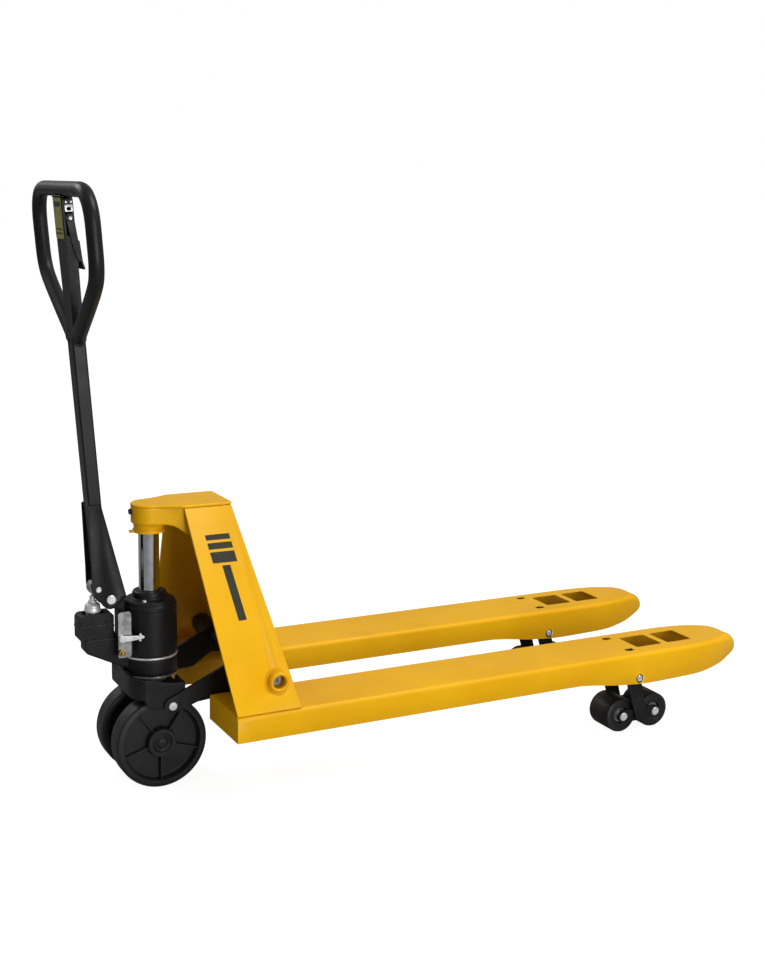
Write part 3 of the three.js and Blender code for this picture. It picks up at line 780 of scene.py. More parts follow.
class Shader:
    """A material in the making, with short ways to add and wire its nodes."""

    def __init__(self, name: str) -> None:
        """Starts a material with a plain Principled shader.

        Args:
            name: Name of the material.
        """
        self.material = bpy.data.materials.new(name)
        self.material.use_nodes = True
        self.nodes = self.material.node_tree.nodes
        self.links = self.material.node_tree.links
        self.surface = self.nodes["Principled BSDF"]
        self.coordinates = self.nodes.new("ShaderNodeTexCoord").outputs["Object"]

    def stretched(self, scale: Sequence[float]) -> bpy.types.NodeSocket:
        """Object coordinates stretched along each axis.

        Args:
            scale: Factor along each axis.

        Returns:
            The coordinates.
        """
        mapping = self.nodes.new("ShaderNodeMapping")
        mapping.inputs["Scale"].default_value = scale
        self.links.new(self.coordinates, mapping.inputs["Vector"])
        return mapping.outputs["Vector"]

    def noise(self, scale: float, detail: float = 3.0, rough: float = 0.55,
              at: Optional[bpy.types.NodeSocket] = None) -> bpy.types.NodeSocket:
        """Noise over the object.

        Args:
            scale: Number of features in a metre.
            detail: Number of finer layers.
            rough: Strength of the finer layers.
            at: Coordinates to read, or the plain object's.

        Returns:
            The value from 0 to 1.
        """
        node = self.nodes.new("ShaderNodeTexNoise")
        node.inputs["Scale"].default_value = scale
        node.inputs["Detail"].default_value = detail
        node.inputs["Roughness"].default_value = rough
        self.links.new(at or self.coordinates, node.inputs["Vector"])
        return node.outputs["Fac"]

    def ramp(self, value: bpy.types.NodeSocket, low: float, high: float, start: float = 0.0,
             end: float = 1.0) -> bpy.types.NodeSocket:
        """Spreads a value from one range over another.

        Args:
            value: Socket to read.
            low: Value that gives start.
            high: Value that gives end.
            start: Result at and below low.
            end: Result at and above high.

        Returns:
            The clamped result.
        """
        node = self.nodes.new("ShaderNodeMapRange")
        node.interpolation_type = "SMOOTHSTEP"
        node.inputs["From Min"].default_value = low
        node.inputs["From Max"].default_value = high
        node.inputs["To Min"].default_value = start
        node.inputs["To Max"].default_value = end
        self.links.new(value, node.inputs["Value"])
        return node.outputs["Result"]

    def times(self, a: bpy.types.NodeSocket, b: bpy.types.NodeSocket) -> bpy.types.NodeSocket:
        """The product of two values.

        Args:
            a: First socket.
            b: Second socket.

        Returns:
            The product.
        """
        node = self.nodes.new("ShaderNodeMath")
        node.operation = "MULTIPLY"
        self.links.new(a, node.inputs[0])
        self.links.new(b, node.inputs[1])
        return node.outputs["Value"]

    def blend(self, amount: bpy.types.NodeSocket, below: object, above: Sequence[float]) -> bpy.types.NodeSocket:
        """Mixes a colour over another.

        Args:
            amount: How much of the upper colour shows, from 0 to 1.
            below: Lower colour, as a socket or three numbers.
            above: Upper colour as three numbers.

        Returns:
            The mixed colour.
        """
        node = self.nodes.new("ShaderNodeMix")
        node.data_type = "RGBA"
        self.links.new(amount, node.inputs["Factor"])
        if isinstance(below, bpy.types.NodeSocket):
            self.links.new(below, node.inputs[6])
        else:
            node.inputs[6].default_value = (*below, 1.0)
        node.inputs[7].default_value = (*above, 1.0)
        return node.outputs[2]

    def edges(self, radius: float, low: float = 0.02, high: float = 0.3) -> bpy.types.NodeSocket:
        """A mask of the sharp edges of the piece.

        Args:
            radius: Reach from the edge in metres.
            low: Bend below which nothing shows.
            high: Bend above which the mask is full.

        Returns:
            The mask from 0 to 1.
        """
        bevel = self.nodes.new("ShaderNodeBevel")
        bevel.samples = 4
        bevel.inputs["Radius"].default_value = radius
        plain = self.nodes.new("ShaderNodeNewGeometry")
        dot = self.nodes.new("ShaderNodeVectorMath")
        dot.operation = "DOT_PRODUCT"
        self.links.new(bevel.outputs["Normal"], dot.inputs[0])
        self.links.new(plain.outputs["Normal"], dot.inputs[1])
        return self.ramp(dot.outputs["Value"], 1 - high, 1 - low, 1.0, 0.0)

    def bump(self, height: bpy.types.NodeSocket, strength: float, distance: float,
             under: Optional[bpy.types.NodeSocket] = None) -> bpy.types.NodeSocket:
        """A bump on the surface.

        Args:
            height: Value that lifts the surface.
            strength: Strength from 0 to 1.
            distance: Height of a full value in metres.
            under: Normal of a bump that lies below this one.

        Returns:
            The normal.
        """
        node = self.nodes.new("ShaderNodeBump")
        node.inputs["Strength"].default_value = strength
        node.inputs["Distance"].default_value = distance
        self.links.new(height, node.inputs["Height"])
        if under:
            self.links.new(under, node.inputs["Normal"])
        return node.outputs["Normal"]

    def set(self, **values: object) -> None:
        """Sets or wires the shader's sockets, named with underscores for spaces."""
        for label, value in values.items():
            socket = self.surface.inputs[label.replace("_", " ")]
            if isinstance(value, bpy.types.NodeSocket):
                self.links.new(value, socket)
            else:
                socket.default_value = value


@dataclass(frozen=True)
class GlossPaint:
    """Powder coat on sheet steel: orange peel, faint mottling, edges painted paler as a painted highlight and wear, and
    a little dust.
    """

    name: str = "yellow powder coat"
    colour: tuple[float, float, float] = (0.86, 0.455, 0.004)
    deep: tuple[float, float, float] = (0.80, 0.405, 0.002)
    # paler yellow for sharp edges: a painted highlight that also stands for wear
    wear_and_edge_sheen: tuple[float, float, float] = (0.93, 0.55, 0.06)

    def material(self) -> bpy.types.Material:
        """Builds the paint.

        Returns:
            The finished material.
        """
        s = Shader(self.name)
        mottle = s.ramp(s.noise(4.5, 4), 0.35, 0.68)
        colour = s.blend(mottle, self.colour, self.deep)
        specks = s.ramp(s.noise(420, 2), 0.66, 0.74, 0.0, 0.25)
        colour = s.blend(specks, colour, self.deep)
        # painted highlight along sharp edges, broken up by noise so that it also reads as wear
        edge = s.times(s.edges(0.0016), s.ramp(s.noise(60, 3), 0.42, 0.62))
        colour = s.blend(edge, colour, self.wear_and_edge_sheen)
        peel = s.bump(s.noise(380, 2, 0.5), 0.10, 0.0006)
        ripple = s.bump(s.noise(26, 2), 0.05, 0.004, peel)
        s.set(Base_Color=colour, Roughness=s.ramp(s.noise(16, 4), 0.3, 0.7, 0.34, 0.46), Normal=ripple,
              Coat_Weight=0.05, Coat_Roughness=0.2, Specular_IOR_Level=0.15)
        return s.material


@dataclass(frozen=True)
class BlackCoat:
    """Satin black paint, smooth on plate and tube or grainy on a casting."""

    name: str
    grain: float = 0.0
    colour: tuple[float, float, float] = (0.006, 0.006, 0.0068)
    pale: tuple[float, float, float] = (0.012, 0.012, 0.013)
    # grey for sharp edges: a painted highlight, partly standing for wear through the paint
    bare: tuple[float, float, float] = (0.11, 0.11, 0.115)
    gloss: tuple[float, float] = (0.34, 0.5)

    def material(self) -> bpy.types.Material:
        """Builds the coat.

        Returns:
            The finished material.
        """
        s = Shader(self.name)
        colour = s.blend(s.ramp(s.noise(9, 4), 0.35, 0.7), self.colour, self.pale)
        # painted highlight along sharp edges, broken up by noise, partly standing for wear through the paint
        edge = s.times(s.edges(0.0013), s.ramp(s.noise(75, 3), 0.36, 0.62))
        colour = s.blend(edge, colour, self.bare)
        dust = s.ramp(s.noise(240, 3), 0.68, 0.8, 0.0, 0.35)
        colour = s.blend(dust, colour, (0.05, 0.05, 0.05))
        fine = s.bump(s.noise(900, 2), 0.06, 0.0003)
        normal = s.bump(s.noise(210, 4, 0.6), 0.1 + 0.5 * self.grain, 0.0004 + 0.0010 * self.grain, fine)
        s.set(Base_Color=colour, Normal=normal, Specular_IOR_Level=0.24,
              Roughness=s.ramp(s.noise(22, 4), 0.3, 0.7, *self.gloss))
        return s.material


@dataclass(frozen=True)
class WheelNylon:
    """Turned black nylon: fine tool lines round the axle, scuffs and pressed-in dirt."""

    name: str = "wheel nylon"
    colour: tuple[float, float, float] = (0.0125, 0.0125, 0.0135)
    # paler nylon for random scuffs and, on sharp edges, for a painted highlight
    scuff_and_edge_sheen: tuple[float, float, float] = (0.055, 0.055, 0.056)

    def material(self) -> bpy.types.Material:
        """Builds the nylon.

        Returns:
            The finished material.
        """
        s = Shader(self.name)
        scuffs = s.ramp(s.noise(36, 6, 0.7), 0.58, 0.78, 0.0, 0.5)
        colour = s.blend(scuffs, self.colour, self.scuff_and_edge_sheen)
        # sharp edges painted paler: partly scuffing, partly a painted highlight
        edge = s.times(s.edges(0.0015), s.ramp(s.noise(90, 3), 0.4, 0.65, 0.0, 0.6))
        colour = s.blend(edge, colour, self.scuff_and_edge_sheen)
        lines = s.noise(60, 2, at=s.stretched((1.0, 22.0, 1.0)))
        fine = s.bump(lines, 0.12, 0.0006)
        normal = s.bump(s.noise(320, 3), 0.14, 0.0004, fine)
        s.set(Base_Color=colour, Normal=normal, Specular_IOR_Level=0.35,
              Roughness=s.ramp(s.noise(30, 4), 0.3, 0.75, 0.36, 0.56))
        return s.material


@dataclass(frozen=True)
class Plated:
    """Metal with a plated or machined skin and faint scratches along one axis."""

    name: str
    colour: tuple[float, float, float]
    dull: tuple[float, float, float]
    gloss: tuple[float, float] = (0.22, 0.38)
    grain: tuple[float, float, float] = (60.0, 4.0, 60.0)
    scratch: float = 0.12
    metal: float = 1.0

    def material(self) -> bpy.types.Material:
        """Builds the metal.

        Returns:
            The finished material.
        """
        s = Shader(self.name)
        colour = s.blend(s.ramp(s.noise(70, 4), 0.35, 0.7), self.colour, self.dull)
        stain = s.ramp(s.noise(190, 4, 0.6), 0.6, 0.78, 0.0, 0.5)
        colour = s.blend(stain, colour, tuple(c * 0.45 for c in self.dull))
        lines = s.noise(14, 3, at=s.stretched(self.grain))
        s.set(Base_Color=colour, Metallic=self.metal, Normal=s.bump(lines, self.scratch, 0.0004),
              Roughness=s.ramp(s.noise(120, 3), 0.3, 0.7, *self.gloss))
        return s.material


@dataclass(frozen=True)
class PlainFilm:
    """Printed film on a backing plate: plain pale field, rubbed at random, with no wording."""

    name: str = "plain film"
    colour: tuple[float, float, float] = (0.36, 0.35, 0.02)
    rubbed: tuple[float, float, float] = (0.2, 0.2, 0.025)

    def material(self) -> bpy.types.Material:
        """Builds the film.

        Returns:
            The finished material.
        """
        s = Shader(self.name)
        colour = s.blend(s.ramp(s.noise(90, 4), 0.42, 0.66), self.colour, self.rubbed)
        s.set(Base_Color=colour, Roughness=s.ramp(s.noise(60, 3), 0.3, 0.7, 0.3, 0.45), Coat_Weight=0.4,
              Normal=s.bump(s.noise(240, 2), 0.08, 0.0003))
        return s.material


@dataclass(frozen=True)
class BackdropPaper:
    """Pale studio paper."""

    name: str = "studio paper"
    colour: tuple[float, float, float] = (0.3, 0.3, 0.3)

    def material(self) -> bpy.types.Material:
        """Builds the paper.

        Returns:
            The finished material.
        """
        s = Shader(self.name)
        seen = s.nodes.new("ShaderNodeLightPath").outputs["Is Camera Ray"]
        s.set(Base_Color=(*self.colour, 1.0), Roughness=0.9, Specular_IOR_Level=0.1,
              Emission_Color=(1.0, 1.0, 1.0, 1.0), Emission_Strength=s.ramp(seen, 0.0, 1.0, 0.0, 0.91))
        return s.material


class Finishes:
    """All the finishes of the jack, and the trees that set them on grown pieces."""

    def __init__(self) -> None:
        """Builds each material and tree once."""
        self.yellow = GlossPaint().material()
        self.black = BlackCoat("satin black", 0.15).material()
        self.casting = BlackCoat("black casting", 1.0, gloss=(0.38, 0.56)).material()
        self.tube = BlackCoat("black tube", 0.0, colour=(0.008, 0.008, 0.009), gloss=(0.34, 0.44)).material()
        self.print = BlackCoat("dark print", 0.0, colour=(0.02, 0.019, 0.008), pale=(0.028, 0.027, 0.013)).material()
        self.nylon = WheelNylon().material()
        self.zinc = Plated("zinc plate", (0.8, 0.81, 0.82), (0.58, 0.585, 0.59), (0.3, 0.48), metal=0.55).material()
        self.steel = Plated("bare steel", (0.4, 0.405, 0.41), (0.22, 0.22, 0.22), (0.28, 0.45), metal=0.75).material()
        self.chrome = Plated("hard chrome", (0.72, 0.74, 0.76), (0.6, 0.62, 0.64), (0.07, 0.16),
                             (4.0, 4.0, 90.0), 0.04).material()
        self.brass = Plated("turned brass", (0.48, 0.34, 0.10), (0.3, 0.21, 0.07)).material()
        self.film = PlainFilm().material()
        self.tubes = tube_tree()
        self.rings = ring_tree()
        self.welds = weld_tree()
        self.coils = coil_tree()

    def weld(self, name: str, points: Sequence[Sequence[float]], material: bpy.types.Material, width: float = 3.2,
             place: Matrix = JACK, closed: bool = False) -> Mesh:
        """Lays a weld bead along points in millimetres.

        Args:
            name: Name of the bead.
            points: Path of the bead.
            material: Finish that covers it.
            width: Half-width of the bead.
            place: Frame that the millimetres are in.
            closed: Whether the path is a ring.

        Returns:
            The bead as a plain mesh.
        """
        line = path(name, points, place, closed)
        return self.welds.grow(line, material, Width=width * MM, Pitch=width * 0.62 * MM)


def coat(piece: Mesh, material: bpy.types.Material) -> Mesh:
    """Gives a whole piece one material.

    Args:
        piece: The object to coat.
        material: Its only material.

    Returns:
        The same piece.
    """
    piece.data.materials.clear()
    piece.data.materials.append(material)
    return piece


def finished(piece: Mesh, material: bpy.types.Material, angle: float = 35.0) -> Mesh:
    """Shades a whole piece and gives it one material."""
    return coat(shaded(piece, angle), material)


def fit(piece: Mesh, body: str, slot: str, *nodes: str) -> Mesh:
    """Puts a finished piece on its body and hides the CAD nodes that it stands for.

    Args:
        piece: The finished piece.
        body: Name of the body that it moves with.
        slot: Name of its material slot in the record; not used.
        *nodes: CAD nodes that it stands for.

    Returns:
        The same piece.
    """
    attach(piece, body)
    if nodes:
        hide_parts(*nodes)
    LOG.info("%s: %d faces on %s", piece.name, len(piece.data.polygons), body)
    return piece


def paired(piece: Mesh, stem: str, body: str, slot: str, node: str = "", split: bool = False) -> None:
    """Fits a left piece and its mirror image.

    Args:
        piece: The left piece, finished.
        stem: Name without its side.
        body: Body name, without its side if split.
        slot: Material slot.
        node: CAD node name without its side, if it stands for one.
        split: Whether each side has a body of its own.
    """
    piece.name = f"{stem}_left"
    twin = mirror_copy(piece, f"{stem}_right")
    for each, side in ((piece, Side.LEFT), (twin, Side.RIGHT)):
        nodes = (f"{node}_{side.label}",) if node else ()
        fit(each, f"{body}_{side.label}" if split else body, slot, *nodes)


def dress_node(node: str, material: bpy.types.Material) -> None:
    """Gives a CAD node that stays in view one of the finishes."""
    coat(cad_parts[node], material)
    LOG.info("%s: keeps its own shape", node)


# --------------------------------------------------------------------- forks


@dataclass
class Fork:
    """Box-section forks with a rounded top, windows and a drooping nose, and the pins through them."""

    finishes: Finishes
    half: float = 80.0
    heel: float = 94.0
    tip: float = 1455.0
    top: float = 208.0
    wall: float = 5.0
    sheet: float = 4.5
    corner: float = 10.0

    def outline(self) -> list[tuple[float, float]]:
        """Half of the plan.

        Returns:
            Points (x, half-width) from the heel to the tip.
        """
        run = [(self.heel + (1250 - self.heel) * k / 30, self.half) for k in range(31)]
        run += bezier((1250, self.half), (1345, self.half - 3), (1400, 48), 16)
        run += bezier((1400, 48), (self.tip - 4, 30), (self.tip, 0), 20)
        return run

    def roof(self, x: float) -> float:
        """Height of the top face, which droops at the nose."""
        return self.top - 0.0042 * max(0.0, x - 1392) ** 2

    def belly(self, x: float) -> float:
        """Height of the lower edge, with its corners eased.

        Args:
            x: Place along the fork.

        Returns:
            The height.
        """
        knots = [(0, 151.5), (952, 151.5), (1052, 137), (1140, 131), (1299, 135), (1377, 146), (1455, 166)]
        total = 0.0
        for shift in (-16, -8, 0, 8, 16):
            p = min(max(x + shift, 1), 1454)
            for (x0, z0), (x1, z1) in zip(knots, knots[1:]):
                if x0 <= p <= x1:
                    total += z0 + (z1 - z0) * (p - x0) / (x1 - x0)
                    break
        return total / 5

    def skin(self, name: str, inset: float, drop: float, sink: float) -> Mesh:
        """A closed body inside the fork's outline.

        Args:
            name: Name of the body.
            inset: Distance inwards from the outline.
            drop: Distance below the top face.
            sink: Distance below the lower edge.

        Returns:
            The body.
        """
        bm = bmesh.new()
        loops = []
        run = self.outline()
        for i, (x, w) in enumerate(run):
            x0, w0 = run[max(i - 1, 0)]
            x1, w1 = run[min(i + 1, len(run) - 1)]
            slope = Vector((w0 - w1, x1 - x0)).normalized() if w > 0 else Vector((1, 0))
            ceiling = self.roof(x) - drop
            nose = min(max((x - 1330) / (self.tip - 1330), 0.0), 1.0)
            bend = max(self.corner + 20 * nose**2 - inset, 3.0)
            levels = [(inset, self.belly(x) - sink)]
            for k in range(7):
                turn = math.pi / 2 * k / 6
                levels.append((inset + bend * (1 - math.cos(turn)), ceiling - bend * (1 - math.sin(turn))))
            loop = []
            for back, z in levels:
                px = max(x - slope.x * back, self.heel + inset)
                pw = max(w - slope.y * back, 0.0)
                loop.append((px, pw, z))
            left = [bm.verts.new((px, FORK_CENTRE + pw, z)) for px, pw, z in loop]
            right = [bm.verts.new((px, FORK_CENTRE - pw, z)) for px, pw, z in reversed(loop)]
            loops.append(left + right)
        size = len(loops[0])
        for a, b in zip(loops, loops[1:]):
            for k in range(size):
                n = (k + 1) % size
                bm.faces.new((a[k], a[n], b[n], b[k]))
        bm.faces.new(loops[0])
        return settle(name, bm)

    def window(self, x0: float, x1: float, y0: float, y1: float, radius: float) -> Mesh:
        """Cutter for a window with rounded corners through the top."""
        corners = [(x0, y0), (x1, y0), (x1, y1), (x0, y1)]
        return slab("cutter", rounded(corners, radius), 185, 225, Axis.Z)

    def shell(self) -> None:
        """Cuts the shell out of its body and rounds its edges."""
        c = FORK_CENTRE
        shell = self.skin("fork", 0, 0, 0)
        cutters = [
            self.skin("hollow", self.wall, self.sheet, 30),
            self.window(1130.6, 1204, c - 37, c + 37, 5),
            self.window(1221.2, 1292.4, c - 37, c + 37, 5),
            self.window(1090, 1112, c - 53, c - 38, 4),
            self.window(1090, 1112, c + 38, c + 53, 4),
            self.window(150, 234, c - 40, c + 40, 8),
            peg(10.8, c - 100, c + 100, YOKE, sides=40),
        ]
        cut(shell, *cutters)
        finished(softened(shell, 0.9, 2, 40), self.finishes.yellow, 40)
        paired(shell, "fork_shell", "frame", "yellow_paint", "fork")

    def pin(self) -> None:
        """Turns the yoke's plated pin with its snap-ring grooves, and a black bush at each end."""
        a, b = FORK_CENTRE - 80.6, FORK_CENTRE + 80.6
        profile = [(0, a), (6.4, a), (7.9, a + 1.4), (7.9, a + 3.4), (7.2, a + 3.8), (7.2, a + 4.8), (7.9, a + 5.2),
                   (7.9, b - 5.2), (7.2, b - 4.8), (7.2, b - 3.8), (7.9, b - 3.4), (7.9, b - 1.4), (6.4, b), (0, b)]
        parts = [finished(lathe("pin", profile, YOKE, Axis.Y, 48), self.finishes.zinc)]
        for low, high in ((a + 1.4, a + 16), (b - 16, b - 1.4)):
            bush = lathe("bush", [(8.0, low), (10.8, low), (10.8, high), (8.0, high)], YOKE, Axis.Y, 48)
            parts.append(finished(bush, self.finishes.casting))
        paired(united("pin", parts), "yoke_pin_turned", "frame", "zinc_steel", "yoke_pin")

    def build(self) -> None:
        """Builds both forks and their pins."""
        self.shell()
        self.pin()


# ---------------------------------------------------------------------- mast


@dataclass
class Mast:
    """Leaning side plates, the backrest between them and the head over the ram."""

    finishes: Finishes
    foot: float = 210.0
    crown: float = 602.0
    plate: float = 5.0
    outer: float = 270.0
    head_half: float = 59.6
    heel: float = 94.0
    load_edge: float = 238.0
    crown_rear: float = 59.0
    crown_front: float = 165.0

    @property
    def run(self) -> float:
        """How far a side plate leans inwards."""
        return self.outer - self.head_half

    @property
    def slant(self) -> float:
        """Length of a side plate along its lean."""
        return math.hypot(self.run, self.crown - self.foot)

    def leaning(self) -> Matrix:
        """Frame of the left plate.

        Returns:
            The frame, with X along the forks, Y up the plate and Z inwards.
        """
        up = Vector((0, -self.run / self.slant, (self.crown - self.foot) / self.slant))
        along = Vector((1, 0, 0))
        inward = along.cross(up)
        turn = Matrix((along, up, inward)).transposed().to_4x4()
        return JACK @ Matrix.Translation((0, self.outer, self.foot)) @ turn

    def side_plates(self) -> None:
        """Builds the side plates with their folded load edge and the boss for the shaft."""
        s = self.slant
        bm = bmesh.new()
        outline = [(self.heel, 0), (self.load_edge, 0), (self.crown_front, s), (self.crown_rear, s)]
        face = [bm.verts.new((a, b, 0)) for a, b in outline]
        back = [bm.verts.new((a, b, self.plate)) for a, b in outline]
        bm.faces.new(face)
        bm.faces.new(list(reversed(back)))
        for k in range(4):
            n = (k + 1) % 4
            bm.faces.new((face[k], face[n], back[n], back[k]))
        fold = bm.edges.get((face[1], face[2]))
        bmesh.ops.bevel(bm, geom=[fold], offset=4.6, segments=6, affect="EDGES", profile=0.5)
        plate = settle("side_plate", bm, self.leaning())
        boss = lathe("boss", rounded([(14, 225), (14, 253.4), (16, 256), (19.6, 256), (22.6, 252), (23.4, 225)], 1.2),
                     SHAFT, Axis.Y, 72)
        bore = peg(14, 180, 280, SHAFT, sides=72)
        cut(plate, bore)
        softened(plate, 0.9, 2, 40)
        ring = [(x, self.outer - self.run * (z - self.foot) / (self.crown - self.foot) + 0.6, z)
                for x, z in polygon(23.8, 72, SHAFT)]
        bead = self.finishes.weld("bead", ring, self.finishes.yellow, 2.3, closed=True)
        foot_line = [(100 + 8 * k, self.outer - 7.5, self.foot - 1) for k in range(17)]
        foot_bead = self.finishes.weld("bead", foot_line, self.finishes.yellow, 3.0)
        shaded(plate, 40)
        shaded(boss, 40)
        for part in (plate, boss):
            coat(part, self.finishes.yellow)
        paired(united("side", [plate, boss, bead, foot_bead]), "mast_side", "frame", "yellow_paint", "side_plate")

    def stripes(self) -> None:
        """Lays plain printed bars on the side plates, as a neutral decal."""
        foot, crown = (self.heel + self.load_edge) / 2, (self.crown_rear + self.crown_front) / 2

        def middle(height: float) -> float:
            """X half-way between the plate's two edges."""
            return foot + (crown - foot) * height / self.slant

        bars = []
        for low, high, half in ((372, 384, 27), (352, 366, 27), (322, 346, 27), (196, 316, 9)):
            a, b = middle(low), middle(high)
            outline = rounded([(a - half, low), (a + half, low), (b + half, high), (b - half, high)], 1.5)
            bars.append(coat(slab("bar", outline, -0.25, 0.1, Axis.Z, self.leaning()), self.finishes.print))
        paired(united("decal", bars), "side_decal", "frame", "black_tube")

    def backrest(self) -> None:
        """Builds the plate between the load edges, with a seam of weld down each side."""
        rise = self.crown - self.foot
        lean = self.load_edge - self.crown_front
        slant = math.hypot(lean, rise)
        across = Vector((0, -1, 0))
        up = Vector((-lean / slant, 0, rise / slant))
        turn = Matrix((across, up, across.cross(up))).transposed().to_4x4()
        place = JACK @ Matrix.Translation((self.load_edge, 0, self.foot)) @ turn

        def half(w: float, gap: float) -> float:
            """Half-width of the plate at a height along it."""
            return self.outer - (self.outer - self.head_half) * w / slant - gap

        corners = [(-half(4, 6.2), 4), (half(4, 6.2), 4), (half(slant - 1, 6.2), slant - 1),
                   (-half(slant - 1, 6.2), slant - 1)]
        plate = slab("backrest", corners, 0, self.plate, Axis.Z, place)
        softened(plate, 1.1, 2)
        finished(plate, self.finishes.yellow)
        parts = [plate]
        for sign in (-1, 1):
            line = [(sign * (half(w, 5.6)), w, self.plate - 0.2) for w in range(14, int(slant) - 8, 12)]
            parts.append(self.finishes.weld("seam", line, self.finishes.yellow, 2.6, place))
        fit(united("backrest_panel", parts), "frame", "yellow_paint", "backrest_plate")

    def plan(self, nose: float, half: float, rear: float, front: float) -> list[tuple[float, float]]:
        """Plan of the head: a round nose that flares out to the side plates.

        Args:
            nose: Radius of the nose.
            half: Half-width at the mast.
            rear: X where the flare ends.
            front: X of the far end.

        Returns:
            The closed outline.
        """
        upper = bezier((rear, half), (25, nose + 4), (0, nose), 14)
        arc = [(nose * math.cos(t), nose * math.sin(t))
               for t in (math.pi / 2 + math.pi * k / 30 for k in range(1, 30))]
        lower = [(x, -y) for x, y in reversed([(rear, half), *upper])]
        corner = bezier((front, half - 9), (front, half), (front - 9, half), 5)
        return [(front, -half + 9), (front, half - 9), *corner, (rear, half), *upper, *arc, *lower,
                *[(x, -y) for x, y in reversed(corner)]]

    def head(self) -> None:
        """Builds the lid, the casting below it, the cup on the ram and the bolt on the nose."""
        lid = slab("lid", self.plan(37.5, self.head_half + 1, 59, 166), 602.2, 609, Axis.Z)
        softened(lid, 3.1, 5, 50)
        finished(lid, self.finishes.yellow, 50)
        fit(lid, "frame", "yellow_paint", "top_plate")
        arm = slab("head_casting", self.plan(37.2, 52, 58, 98), 540, 603, Axis.Z)
        under = [(-60, 520), (130, 520), (130, 534), (96, 536), (66, 545), (46, 561), (30, 566), (-20, 567),
                 (-60, 567)]
        cut(arm, slab("under", rounded(under, 10), -80, 80, Axis.Y))
        cup = lathe("cup", [(0, 552), (31, 552), (32.5, 574), (0, 574)], sides=96)
        join(arm, cup)
        cast(arm, 1.5, 8, 0.45)
        finished(arm, self.finishes.yellow, 60)
        flange = lathe("flange", rounded([(22.3, 546.6), (33.6, 546.6), (33.6, 552.6), (22.3, 552.6)], 1.0))
        tab = slab("tab", rounded([(-42, -5), (-28, -5), (-28, 5), (-42, 5)], 2.5), 547.2, 551.6, Axis.Z)
        for part in (flange, tab):
            finished(softened(part, 0.4, 1), self.finishes.yellow)
        fit(united("head_arm", [arm, flange, tab]), "frame", "yellow_paint", "ram_cup")
        bolt = slab("nose_bolt", polygon(6.6, 6, (0, 592)), -42.4, -36.5, Axis.X)
        cut(bolt, peg(2.6, -44, -40, (0, 592), Axis.X, 6))
        finished(softened(bolt, 0.7, 2), self.finishes.casting)
        fit(bolt, "frame", "zinc_steel", "cup_bolt")

    def ram(self) -> None:
        """Turns the ram, with a step where it enters the cup."""
        profile = [(0, 330), (22, 330), (22, 545.6), (21.6, 546), (21.6, 589), (0, 589)]
        rod = finished(lathe("ram_rod", profile, sides=128), self.finishes.chrome)
        fit(rod, "frame", "chrome_rod", "ram")

    def shaft(self) -> None:
        """Turns the torque shaft with a centre hole and a snap ring at each end."""
        half = 236.0
        end = [(0, half - 4), (4.2, half - 4), (4.6, half), (11.6, half), (13.3, half - 1.6), (13.3, half - 5),
               (12.4, half - 5.4), (12.4, half - 6.6), (13.3, half - 7)]
        profile = [*end, *[(r, -z) for r, z in reversed(end)]]
        shaft = finished(lathe("shaft_turned", profile, SHAFT, Axis.Y, 64), self.finishes.steel)
        fit(shaft, "frame", "plain_steel", "torque_shaft")

    def build(self) -> None:
        """Builds every piece of the mast."""
        self.side_plates()
        self.stripes()
        self.backrest()
        self.head()
        self.ram()
        self.shaft()


# -------------------------------------------------------------------- rocker


